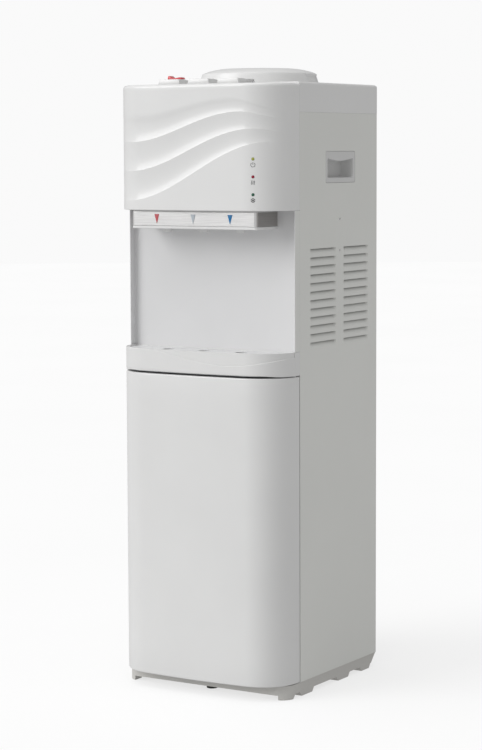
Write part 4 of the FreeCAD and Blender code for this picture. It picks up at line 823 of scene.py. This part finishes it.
@dataclass
class Door:
    """Moulded door with rounded edges, closed above and below, and a block around each hinge pin."""

    outline: Outline = Outline(setback=0.002)
    low: float = 0.0237
    high: float = 0.5110
    wall: float = 0.0022
    fillet: float = 0.0022
    boss: float = 0.0102
    pin: tuple[float, float] = (0.149, -0.0963)
    steps: tuple[float, ...] = (0.0632, 0.058, 0.045, 0.032, 0.020, 0.010)

    def sheet(self) -> Piece:
        """Return the skin before it gets its wall; its upper end mirrors its lower one."""
        rows = [self.outline.rear(self.steps[0], self.low)]
        rows += [self.outline.ring(inset, self.low) for inset in self.steps]
        rows += [self.outline.ring(self.fillet * (1 - sine), self.low + self.fillet * (1 - cosine))
                 for sine, cosine in quarter(5)]
        top = [[Vector((*p.xy, self.low + self.high - p.z)) for p in row] for row in reversed(rows)]
        rows += [self.outline.ring(0.0, self.low + (self.high - self.low) * i / 12) for i in range(1, 12)]
        return lofted("door_skin", rows + top)

    def build(self) -> None:
        """Make the skin, its hinge blocks and their bores."""
        x, y = self.pin
        pieces = [thickened(self.sheet(), self.wall)]
        lower = (self.low + self.wall, self.low + self.boss)
        for z0, z1 in (lower, (self.high - self.boss, self.high - self.wall)):
            pieces.append(soften(block("boss", (x - 0.006, y - 0.006, z0), (0.1532, -0.0929, z1)), 0.0008))
        obj = joined("door_skin", pieces)
        carve(obj, drum("bore", (x, y, self.low - 0.001), (x, y, self.high + 0.001), 0.00305))
        smooth(obj, 28.0)
        dress(obj, Finish.DOOR, "door", "door_outer")


@dataclass
class Apron:
    """Wall under the drip tray; its top edge is chamfered along the swoosh and catches the light."""

    outline: Outline = Outline(setback=0.002, back=-0.0885, corner_steps=28, front_steps=80)
    low: float = 0.5150
    high: float = 0.5497
    wall: float = 0.0025
    chamfer: float = 0.0007
    side_y: float = -0.1033
    dip: float = 0.0026
    foot_round: float = 0.0009

    def top(self, point: Vector) -> float:
        """Return the level of the upper edge at a point of the outline."""
        if point.x > 0 and point.y > self.side_y:
            return self.high
        return min(self.high, self.high - swoosh(point.x) - 0.0001)

    def foot(self, point: Vector) -> float:
        """Return the level of the lower edge, which dips at both ends."""
        return self.low - self.dip * eased((abs(point.x) - 0.118) / 0.034)

    def base(self) -> list[Vector]:
        """Return the outline with a close pair of points where the tray's lip ends."""
        points = self.outline.ring()
        cut = next(i for i, p in enumerate(points) if p.y < self.side_y)
        x = points[cut - 1].lerp(points[cut], 0.5).x
        pair = [Vector((x, self.side_y + gap, 0)) for gap in (0.00005, -0.00005)]
        return [*points[:cut], *pair, *points[cut:]]

    def row(self, inset: float, level: Callable[[Vector], float]) -> list[Vector]:
        """Return one row, moved in by inset, at a level that depends on the outline's point."""
        return [Vector((*(p - self.outline.out(p) * inset).xy, level(p))) for p in self.base()]

    def build(self) -> None:
        """Make the wall: a rounded foot, the face and the chamfer."""
        foot, edge, chamfer = self.foot_round, self.top, self.chamfer
        rows = [self.row(0.010, self.foot)]
        rows += [self.row(foot * (1 - sine), lambda p, c=cosine: self.foot(p) + foot * (1 - c))
                 for sine, cosine in quarter(3)]
        for i in range(1, 7):
            rows.append(self.row(0.0, lambda p, i=i: self.foot(p) + (edge(p) - chamfer - self.foot(p)) * i / 6))
        rows += [self.row(0.0002, lambda p: edge(p) - chamfer * 0.6), self.row(0.0006, edge)]
        obj = thickened(lofted("apron", rows), self.wall)
        smooth(obj, 24.0)
        dress(obj, Finish.DOOR, "cabinet", "tray_bezel")


# ---- steel side

@dataclass
class SidePanel:
    """Steel side with two columns of pressed louvres, a folded rear edge and a foot."""

    side: int
    node: str
    half: float = 0.155
    front: float = -0.0883
    rear: float = 0.1645
    low: float = 0.0237
    high: float = 0.9220
    sheet: float = 0.0010
    flange: float = 0.012
    slot_top: float = 0.7085
    pitch: float = 0.0134
    count: int = 12
    press: float = 0.0046
    drop: float = 0.0092
    slit: float = 0.0003
    screws: tuple[float, float] = (0.7535, 0.7035)
    columns: tuple[tuple[float, float], ...] = ((-0.0555, 0.0285), (0.0520, 0.1360))
    ease: float = 0.0042
    window: tuple[float, float, float, float] = (-0.0063, 0.0903, 0.8112, 0.8618)

    def ys(self) -> list[float]:
        """Return the columns' places, close together at the ends of the louvres."""
        first, last = self.columns[0][0], self.columns[-1][1]
        places = [self.front, (self.front + first) / 2, (last + self.rear) / 2, self.rear]
        ramp = [self.ease * swung(i / 8) for i in range(9)]
        for start, end in self.columns:
            places += [start + step for step in ramp] + [end - step for step in ramp]
            places += [start + (end - start) * i / 8 for i in range(1, 8)]
        return sorted({round(y, 6) for y in places})

    def sunk(self, y: float) -> float:
        """Return the share of the full press at y: none at a louvre's ends, all of it between."""
        for start, end in self.columns:
            if start < y < end:
                return eased(min(y - start, end - y) / self.ease)
        return 0.0

    def row(self, z: float, depth: float) -> list[Vector]:
        """Return one row of the sheet."""
        return [Vector((self.side * (self.half - depth * self.sunk(y)), y, z)) for y in self.ys()]

    def rows(self) -> list[list[Vector]]:
        """Return the rows from the foot to the top."""
        rows = [self.row(z, 0.0) for z in (self.low, 0.2, 0.4)]
        for top in reversed(self.tops()):
            rows.append(self.row(top - self.drop - 0.001, 0.0))
            shares = [i / 7 for i in range(8)]
            rows += [self.row(top - self.drop * (1 - share), self.press * share ** 1.6) for share in shares]
            rows.append(self.row(top + self.slit, 0.0))
        return [*rows, self.row(0.76, 0.0), self.row(self.high, 0.0)]

    def tops(self) -> list[float]:
        """Return the louvres' upper edges, from the highest down."""
        return [self.slot_top - i * self.pitch for i in range(self.count)]

    def open_slots(self, obj: Piece) -> None:
        """Take out the steep wall over each louvre, which leaves the slot."""
        middles = [top + self.slit / 2 for top in self.tops()]
        limit = self.half - self.press * 0.35
        pick(obj, "FACE", lambda c, n: abs(c.x) < limit and any(abs(c.z - z) < 0.0002 for z in middles))
        bpy.ops.mesh.delete(type="FACE")
        bpy.ops.object.mode_set(mode="OBJECT")

    def across(self, first: float, second: float) -> tuple[float, float]:
        """Return two depths behind the side's face as an ascending pair of X."""
        low, high = sorted((self.side * (self.half - first), self.side * (self.half - second)))
        return low, high

    def build(self) -> None:
        """Make the sheet, its window and screw holes, its fold and its foot."""
        obj = lofted("sheet", self.rows())
        self.open_slots(obj)
        foot_face = min(obj.data.polygons, key=lambda f: f.center.z)
        walled(obj, self.sheet, foot_face.normal.x * self.side > 0)
        y0, y1, z0, z1 = self.window
        x0, x1 = self.across(0.004, -0.002)
        hole = block("window", (x0, y0, z0), (x1, y1, z1))
        pick(hole, "EDGE", lambda m, d: abs(d.x) > 0.9)
        bpy.ops.mesh.bevel(offset=0.0035, segments=6, profile=0.5, clamp_overlap=True)
        carve(obj, hole)
        for z in self.screws:
            carve(obj, drum("screw_hole", (x0, 0.040, z), (x1, 0.040, z), 0.0021, 20))
        x0, x1 = self.across(self.flange, self.sheet)
        inner_y, inner_z = self.rear - self.sheet, self.low + self.sheet
        fold = block("fold", (x0, inner_y, self.low), (x1, self.rear, self.high))
        foot = block("foot", (x0, self.front + 0.003, self.low), (x1, inner_y, inner_z))
        obj = joined(self.node + "_steel", [obj, soften(fold, 0.0002), soften(foot, 0.0002)])
        smooth(obj, 40.0)
        dress(obj, Finish.STEEL, "cabinet", self.node)


@dataclass
class Grip:
    """Recessed handle: a flange behind the sheet, a slim frame and a cup whose upper edge sags."""

    side: int
    node: str
    half: float = 0.155
    frame: tuple[float, float, float, float] = (-0.0058, 0.0898, 0.8117, 0.8613)
    opening: tuple[float, float, float, float] = (0.0005, 0.0835, 0.8195, 0.8505)
    sag: float = 0.0045
    depth: float = 0.0240
    wall: float = 0.0012

    def ring(self, box: Numbers, grow: float, corner: float, back: float) -> list[Vector]:
        """Return a closed rounded rectangle.

        Args:
            box: its y and z limits.
            grow: how much larger it is on every side.
            corner: its corner radius.
            back: how far it lies behind the side of the body.

        Returns:
            Its points, the first of them repeated at the end.
        """
        y0, y1, z0, z1 = box[0] - grow, box[1] + grow, box[2] - grow, box[3] + grow
        points = []
        for i, (cy, cz) in enumerate(((y1 - corner, z0 + corner), (y1 - corner, z1 - corner),
                                      (y0 + corner, z1 - corner), (y0 + corner, z0 + corner))):
            for j in range(7):
                angle = radians(-90 + 90 * i + 15 * j)
                points.append((cy + corner * cos(angle), cz + corner * sin(angle)))
            if i == 1:
                points += [(y1 - corner + (y0 - y1 + 2 * corner) * k / 12, z1) for k in range(1, 12)]
        if box is self.opening:
            points = [(y, z - self.sagging(y, z)) for y, z in points]
        points.append(points[0])
        return [Vector((self.side * (self.half - back), y, z)) for y, z in points]

    def sagging(self, y: float, z: float) -> float:
        """Return how far the opening's edge hangs at a place: nothing below, the most above the middle."""
        y0, y1, z0, z1 = self.opening
        along = max(0.0, min(1.0, (y - y0) / (y1 - y0)))
        return self.sag * sin(pi * along) * max(0.0, min(1.0, (z - z0) / (z1 - z0)))

    def build(self) -> None:
        """Make the handle from rings, the flange first and the bottom of the cup last."""
        floor = self.depth - self.wall
        around = ((0.0035, 0.0050, 0.0012), (0.0, 0.0035, 0.0012), (0.0, 0.0035, 0.0006),
                  (-0.0003, 0.0033, 0.0001), (-0.0010, 0.0030, 0.0))
        within = ((0.0012, 0.0035, 0.0), (0.0004, 0.0030, 0.0002), (0.0, 0.0030, 0.0010),
                  (-0.0003, 0.0030, 0.006), (-0.0008, 0.0030, 0.014), (-0.0014, 0.0030, floor - 0.003),
                  (-0.0022, 0.0030, floor - 0.0009), (-0.0044, 0.0030, floor))
        rings = [self.ring(self.frame, *shape) for shape in around]
        rings += [self.ring(self.opening, *shape) for shape in within]
        obj = lofted(self.node + "_cup", rings)
        pick(obj, "EDGE", lambda m, d: abs(self.half - abs(m.x) - floor) < 0.00002)
        bpy.ops.mesh.edge_face_add()
        closed(obj)
        face = next(f for f in obj.data.polygons if abs(self.half - abs(f.center.x) - floor) < 0.00002)
        walled(obj, self.wall, face.normal.x * self.side > 0)
        smooth(obj, 35.0)
        dress(obj, Finish.GRIP, "cabinet", self.node)


# ---- niche and taps

@dataclass
class Niche:
    """Back wall of the niche with a thin return at each side, softly rounded between them."""

    half: float = 0.155
    lip: float = -0.1030
    wall: float = -0.0900
    back: float = -0.0884
    low: float = 0.5150
    high: float = 0.7700
    side: float = 0.0016
    turn: float = 0.0012
    sill: float = 0.5498

    def half_plan(self) -> list[tuple[float, float]]:
        """Return the right half of the plan, from the outer rear corner to the middle of the wall."""
        inner = self.half - self.side
        rim = [(self.half, self.back), (self.half, self.lip + 0.0005), (self.half - 0.0005, self.lip),
               (inner + 0.0004, self.lip), (inner, self.lip + 0.0004)]
        rim += [(inner - self.turn * (1 - c), self.wall - self.turn * (1 - s)) for s, c in quarter(8)]
        return rim

    def build(self) -> None:
        """Make the wall, and cut its sides clear of the tray's wall below the sill."""
        right = self.half_plan()
        plan = right + [(-x, y) for x, y in reversed(right)]
        obj = plate("niche_wall", [(x, y, self.low) for x, y in plan], (0, 0, self.high - self.low))
        for side in (-1, 1):
            x0, x1 = sorted((side * (self.half - 0.0050), side * (self.half + 0.01)))
            carve(obj, block("sill_cut", (x0, self.lip - 0.01, 0.5), (x1, self.back + 0.01, self.sill)))
        soften(obj, 0.0003, 1, 60.0)
        smooth(obj, 25.0)
        dress(obj, Finish.NICHE, "cabinet", "niche_panel")
        partly(obj, Finish.STEEL, lambda c, n: abs(n.x) > 0.9 and abs(c.x) > self.half - 0.0003)


@dataclass
class Pointers:
    """Three printed pointers on the strip: hot, room and cold."""

    places: tuple[float, ...] = (-0.068, 0.0, 0.068)
    inks: tuple[Finish, ...] = (Finish.PRINT_RED, Finish.PRINT_PALE, Finish.PRINT_BLUE)
    names: tuple[str, ...] = ("hot", "room", "cold")
    width: float = 0.0085

    def build(self) -> None:
        """Make the three plates."""
        low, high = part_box("tap_markers")
        for x, ink, name in zip(self.places, self.inks, self.names):
            tips = [(x - self.width / 2, high[2]), (x + self.width / 2, high[2]), (x, low[2])]
            obj = plate("pointer_" + name, [(u, low[1], v) for u, v in tips], (0, high[1] - low[1], 0))
            soften(obj, 0.00012, 2, 50.0)
            smooth(obj)
            dress(obj, ink, "cabinet", "tap_markers")


# ---- lights and their signs

@dataclass
class Lamps:
    """Domed lenses on the head's corner, with a printed sign below each."""

    shell: HeadShell
    radius: float = 0.0024
    drop: float = 0.0088
    stroke: float = 0.0007
    lenses: tuple[Finish, ...] = (Finish.GREEN_LENS, Finish.RED_LENS, Finish.TEAL_LENS)

    def lens(self, name: str, place: Vector, out: Vector, finish: Finish) -> None:
        """Turn one lens and set it in its hole."""
        r = self.radius
        profile = [(0.0, -0.004), (r, -0.004), (r, 0.0001), (r * 0.88, 0.0004), (r * 0.5, 0.0007),
                   (0.0, 0.0008)]
        obj = turned(name, profile, (0, 0, 0), 32)
        obj.data.transform(Matrix.Translation(place) @ out.to_track_quat("Z", "Y").to_matrix().to_4x4())
        smooth(obj, 40.0)
        dress(obj, finish, "cabinet", "indicator_lights")

    def on_corner(self, middle: Vector, u: float, v: float) -> Vector:
        """Return the point u to the right of and v above a sign's middle, on the curved corner."""
        outline = self.shell.outline
        angle = radians(self.shell.lamp_angle) - u / outline.corner
        return outline.at_corner(angle, outline.corner + 0.00002, middle.z + v)

    def line(self, middle: Vector, points: Sequence[tuple[float, float]]) -> Piece:
        """Return one stroke through (u, v) points, bent round the corner."""
        rows: list[list[Vector]] = [[], [], []]
        for i, (u, v) in enumerate(points):
            before, after = points[max(0, i - 1)], points[min(len(points) - 1, i + 1)]
            run = Vector((after[0] - before[0], after[1] - before[1])).normalized()
            for row, side in zip(rows, (-0.5, 0.0, 0.5)):
                shift = self.stroke * side
                row.append(self.on_corner(middle, u - run.y * shift, v + run.x * shift))
        obj = lofted("stroke", rows)
        normal = obj.data.polygons[0].normal
        outward = normal.dot(Vector((0.4, -1.0, 0))) > 0
        modify(obj, "SOLIDIFY", thickness=0.00010, offset=1.0 if outward else -1.0, use_rim=True)
        return closed(obj, 0.000001)

    def signs(self) -> list[list[list[tuple[float, float]]]]:
        """Return the strokes of the power, heat and cold signs."""
        def polar(radius: float, angle: float) -> tuple[float, float]:
            """Return the point at a radius and an angle."""
            return radius * cos(angle), radius * sin(angle)

        arc = [polar(0.0034, radians(125 + 290 * i / 18)) for i in range(19)]
        power = [arc, [(0, 0.0), (0, 0.0020), (0, 0.0040)]]
        levels = [-0.0030 + 0.0060 * i / 12 for i in range(13)]
        heat = [[(u + 0.0005 * sin(v * 1300), v) for v in levels] for u in (-0.0022, 0.0, 0.0022)]
        cold = []
        for a in (radians(90 + 60 * i) for i in range(3)):
            cold.append([polar(-0.0036, a), (0, 0), polar(0.0036, a)])
            cold += [[polar(0.0034, end + 0.34), polar(0.0022, end), polar(0.0034, end - 0.34)]
                     for end in (a, a + pi)]
        return [power, heat, cold]

    def build(self) -> None:
        """Make the lenses and the signs."""
        strokes = []
        names = ("lens_power", "lens_heat", "lens_cold")
        for name, finish, sign, (place, out) in zip(names, self.lenses, self.signs(), self.shell.lamps()):
            self.lens(name, place, out, finish)
            strokes += [self.line(place - Vector((0, 0, self.drop)), points) for points in sign]
        dress(joined("lamp_signs", strokes), Finish.PRINT_DARK, "cabinet")


# ---- buttons

@dataclass
class Paddles:
    """Three blocky paddles on one axle, hollow below, with a red slide on the hot one."""

    places: tuple[tuple[str, float], ...] = (("hot", -0.0545), ("room", 0.0), ("cold", 0.0545))
    width: float = 0.041
    front: float = -0.1370
    top: float = 0.9750
    ridge: float = -0.1185
    pivot: tuple[float, float] = (-0.1000, 0.9695)
    hub: float = 0.0034
    bore: float = 0.0016
    draft: float = 0.0022

    def profile(self) -> list[tuple[float, float]]:
        """Return the side view as (y, z) points."""
        y, z = self.pivot
        points = [(self.front, z - self.hub), (self.front, self.top - 0.0012),
                  (self.front + 0.0003, self.top - 0.0004), (self.front + 0.0012, self.top),
                  (self.ridge, self.top), (self.ridge + 0.003, self.top - 0.0006)]
        angles = [radians(65 - 155 * i / 8) for i in range(9)]
        return points + [(y + self.hub * cos(a), z + self.hub * sin(a)) for a in angles]

    def paddle(self, name: str, x: float) -> None:
        """Make one paddle, slightly narrower at its top.

        Args:
            name: hot, room or cold.
            x: its middle.
        """
        half, foot = self.width / 2, self.pivot[1] - self.hub
        obj = plate("paddle_" + name, [(x - half, y, z) for y, z in self.profile()], (self.width, 0, 0))
        soften(obj, 0.0011, 3, 60.0)
        for vertex in obj.data.vertices:
            rise = (vertex.co.z - foot) / (self.top - foot)
            vertex.co.x -= (vertex.co.x - x) / half * self.draft * rise
        inner, outer = half - 0.003, half + 0.001
        carve(obj, block("pocket", (x - inner, self.front + 0.003, 0.9), (x + inner, -0.1090, 0.9712)))
        carve(obj, drum("axle_bore", (x - outer, *self.pivot), (x + outer, *self.pivot), self.bore, 24))
        if name == "hot":
            carve(obj, block("key_slot", (x - 0.0034, -0.1210, 0.965), (x + 0.0034, -0.1130, 0.98)))
        smooth(obj, 30.0)
        dress(obj, Finish.WHITE, "button_" + name, "button_" + name)

    def slide(self) -> None:
        """Make the lock's slide: a raised tip, a finger hollow and a flat end, with its key below."""
        low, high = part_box("child_lock")
        z, tip = self.top + 0.0003, high[2]
        shape = [(0.0046, z), (0.030, z), (0.030, z + 0.0012), (0.0288, z + 0.0028), (0.0265, z + 0.0032),
                 (0.0180, z + 0.0019), (0.0138, z + 0.0015), (0.0108, z + 0.0030), (0.0086, z + 0.0048),
                 (0.0072, tip - 0.0002), (0.0060, tip), (0.0050, tip - 0.0006), (0.0046, z + 0.0010)]
        obj = plate("slide", [(low[0] + x, low[1], z) for x, z in shape], (0, high[1] - low[1], 0))
        soften(obj, 0.0005, 2, 50.0)
        key = block("key", (low[0] + 0.012, -0.1205, low[2]), (low[0] + 0.018, -0.1165, z + 0.001))
        obj = joined("lock_slide", [obj, soften(key, 0.0002)])
        smooth(obj, 30.0)
        dress(obj, Finish.RED, "child_lock", "child_lock")

    def build(self) -> None:
        """Make the three paddles and the slide."""
        self.slide()
        for name, x in self.places:
            self.paddle(name, x)


@dataclass
class Fittings:
    """Parts of the front that keep the frame's shape, with cuts or a second finish."""

    shop: Shop
    wall_x: float = 0.0757

    def build(self) -> None:
        """Make the strip with its ends darker as painted shade and painted reflection, and the plinth with low
        end walls.
        """
        strip = self.shop.refined("trim_strip", Finish.TRIM, 0.0003)
        # the end faces take the darker copy of the trim: painted shade and painted reflection
        partly(strip, Finish.TRIM_SIDE, lambda c, n: abs(n.x) > 0.8)
        plinth = self.shop.refined("button_plinth", Finish.WHITE)
        for side in (-1, 1):
            x0, x1 = sorted((side * self.wall_x, side * (self.wall_x + 0.02)))
            carve(plinth, block("end_cut", (x0, -0.16, 0.9670), (x1, -0.1040, 0.99)))
            carve(plinth, block("top_cut", (x0, -0.105, 0.9714), (x1, -0.08, 0.99)))
        weighted(plinth)


# ---- bottle seat

@dataclass
class Collar:
    """Bottle seat: a tapered band with a ribbed rear half, a low dome, a funnel and a skirt."""

    centre: tuple[float, float] = (0.0, 0.049)
    base: float = 0.9693
    shoulder: float = 0.9855
    crest: float = 0.9950
    skirt_low: float = 0.9493
    band_radius: float = 0.0934
    steps: int = 180
    step_angle: float = -7.0
    sink: float = 0.0016
    rib: float = 0.0005
    bead: float = 0.0005

    def profile(self) -> list[tuple[float, float]]:
        """Return the section, as radius and height above the world's origin."""
        outer = [(0.0880, self.base), (0.0984, self.base), (0.0990, self.base + 0.0005)]
        outer += [(0.0990 - 0.0054 * i / 6, self.base + 0.0005 + (self.shoulder - self.base - 0.0005) * i / 6)
                  for i in range(1, 7)]
        outer += [(0.0928, self.shoulder + 0.0012), (0.0900, self.shoulder + 0.0026),
                  (0.0830, self.crest - 0.0044), (0.0740, self.crest - 0.0022),
                  (0.0660, self.crest - 0.0008), (0.0590, self.crest - 0.0001)]
        funnel = [(0.0560, self.crest), (0.0545, self.crest - 0.0005), (0.0537, self.crest - 0.0018)]
        funnel += [(0.0537 - 0.0225 * i / 8, self.crest - 0.0018 - 0.0480 * i / 8) for i in range(1, 8)]
        funnel += [(0.0312, 0.9447), (0.0300, 0.9432), (0.0270, 0.9430), (0.0078, 0.9430), (0.0078, 0.9405)]
        funnel += [(0.0330, 0.9405), (0.0345, 0.9420), (0.0567, self.crest - 0.0050)]
        under = [(0.0610, self.crest - 0.0048), (0.0855, self.shoulder - 0.0030), (0.0857, self.skirt_low),
                 (0.0880, self.skirt_low)]
        return outer + funnel + under

    def build(self) -> None:
        """Turn the seat, then step and rib the rear half of its band."""
        x0, y0 = self.centre
        obj = turned("seat", self.profile(), (x0, y0, 0.0), self.steps)
        first, last = (round(a * self.steps / 360.0) for a in (self.step_angle, 180.0 - self.step_angle))
        for vertex in obj.data.vertices:
            x, y, z = vertex.co.x - x0, vertex.co.y - y0, vertex.co.z
            radius = hypot(x, y)
            angle = (degrees(atan2(y, x)) + 90.0) % 360.0 - 90.0
            step = round(angle * self.steps / 360.0)
            on_band = radius >= self.band_radius and self.base + 0.0008 < z < self.shoulder - 0.0002
            if on_band and first <= step <= last:
                sink = self.sink + (self.rib if step % 2 else 0.0)
                share = 1.0 + (self.bead if step in (first, last) else -sink) / radius
                vertex.co.x, vertex.co.y = x0 + x * share, y0 + y * share
        smooth(obj, 28.0)
        dress(obj, Finish.WHITE, "bottle_seat", "bottle_collar")


# ---- studio

@dataclass
class Studio:
    """Pale floor, soft lights and the camera."""

    azimuth: float = 31.52
    pitch: float = 5.68
    roll: float = -0.23
    lens: float = 107.26
    place: tuple[float, float, float] = (1.8967, -3.0994, 0.8596)
    floor_glow: float = 0.680
    floor_bounce: float = 0.30
    background: float = 0.955
    room_light: float = 0.45

    def floor(self) -> None:
        """Lay a wide round floor, bright enough to meet the background without a line."""
        bpy.ops.object.select_all(action="DESELECT")
        bpy.ops.mesh.primitive_circle_add(vertices=96, radius=14.0, fill_type="NGON")
        obj = named("floor")
        n = Nodes("floor")
        n.tint(n.noise(1.5), (0.31, 0.31, 0.31), 0.968)
        seen = n.add("LightPath").outputs["Is Camera Ray"]
        n.set(Roughness=0.95, Specular_IOR_Level=0.0, Emission_Color=(1.0, 1.0, 1.0, 1.0),
              Emission_Strength=n.spread(seen, self.floor_bounce, self.floor_glow))
        obj.data.materials.append(n.material)

    def light(self, name: str, towards: Numbers, power: float, spread: float) -> None:
        """Hang one wide soft light.

        Args:
            name: the light's name.
            towards: the direction from the object to the light.
            power: its strength in watts per square metre.
            spread: how wide it looks from the object, in radians.
        """
        data = bpy.data.lights.new(name, "SUN")
        data.energy = power
        data.angle = spread
        obj = bpy.data.objects.new(name, data)
        bpy.context.collection.objects.link(obj)
        obj.location = Vector(towards).normalized() * 4.0
        obj.rotation_euler = (-Vector(towards)).to_track_quat("-Z", "Y").to_euler()

    def world(self) -> None:
        """Show a pale background, and let less than that fall on the object."""
        world = bpy.data.worlds.new("room")
        bpy.context.scene.world = world
        world.use_nodes = True
        tree = world.node_tree
        seen = tree.nodes.new("ShaderNodeLightPath").outputs["Is Camera Ray"]
        strength = tree.nodes.new("ShaderNodeMapRange")
        tree.links.new(seen, strength.inputs["Value"])
        strength.inputs["To Min"].default_value = self.room_light
        strength.inputs["To Max"].default_value = self.background
        background = tree.nodes["Background"]
        background.inputs["Color"].default_value = (1.0, 1.0, 1.0, 1.0)
        tree.links.new(strength.outputs["Result"], background.inputs["Strength"])

    def camera(self) -> None:
        """Set the camera at its calibrated place."""
        data = bpy.data.cameras.new("camera")
        data.sensor_fit = "VERTICAL"
        data.sensor_height = 36.0
        data.sensor_width = 24.0
        data.lens = self.lens
        data.shift_x = -0.0024
        data.clip_end = 50.0
        obj = bpy.data.objects.new("camera", data)
        bpy.context.collection.objects.link(obj)
        az, pitch = radians(self.azimuth), radians(self.pitch)
        forward = Vector((-sin(az) * cos(pitch), cos(az) * cos(pitch), -sin(pitch)))
        turn = forward.to_track_quat("-Z", "Y").to_matrix() @ Matrix.Rotation(radians(self.roll), 3, "Z")
        obj.matrix_world = Matrix.Translation(self.place) @ turn.to_4x4()
        bpy.context.scene.camera = obj

    def build(self) -> None:
        """Set up the whole studio."""
        bpy.context.scene.view_settings.view_transform = "Standard"
        self.floor()
        self.world()
        self.light("key", (-0.55, -0.70, 0.45), 1.45, 0.7)
        self.light("top", (-0.1, -0.25, 1.0), 0.95, 0.9)
        self.light("right", (0.85, -0.50, 0.25), 0.05, 1.0)
        self.camera()


# ---- all together

REFINED: dict[Finish, str] = {
    Finish.BASE: "base_tray", Finish.RUBBER: "rubber_foot", Finish.STEEL: "rear_panel",
    Finish.DOOR: "door_inner drip_tray", Finish.NICHE: "drip_grate", Finish.RED: "drain_plug_hot rocker_hot",
    Finish.WHITE: "tap_housing taps head_base top_cover bottle_probe drain_bezel drain_plug_cold",
    Finish.DARK: "fan_frame fan_rotor fan_grille switch_frames rocker_cold cord_gland",
}
RECOLOURED: dict[Finish, str] = {
    Finish.PLATED: "case_screws hinge_pins button_axle", Finish.ZINC: "mid_shelf cabinet_back tank_shelf",
    Finish.MAGNET: "door_magnet", Finish.BOARD: "indicator_board power_board",
    Finish.SILICONE: "neck_seal water_tubes", Finish.STAINLESS: "cold_tank hot_tank",
    Finish.FOAM: "cold_foam hot_foam", Finish.ALLOY: "cold_block heat_sink heating_parts",
    Finish.CERAMIC: "cooling_module", Finish.WHITE: "push_rod_hot push_rod_room push_rod_cold",
}


def main() -> None:
    """Build every piece around the frame, give the other nodes their finishes and set up the studio; each new
    piece logs its face count.
    """
    logging.basicConfig(level=logging.INFO, format="%(name)s: %(message)s")
    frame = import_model()
    shop = Shop(frame)
    head = HeadShell()
    makers = (head, Lamps(head), Paddles(), Fittings(shop), Collar(), Niche(), Pointers(), Apron(), Door(),
              SidePanel(1, "right_side_panel"), SidePanel(-1, "left_side_panel"),
              Grip(1, "right_grip"), Grip(-1, "left_grip"))
    for maker in makers:
        maker.build()
    for table, treat in ((REFINED, shop.refined), (RECOLOURED, shop.recolour)):
        for finish, nodes in table.items():
            for node in nodes.split():
                treat(node, finish)
    Studio().build()


if __name__ == "__main__":
    main()
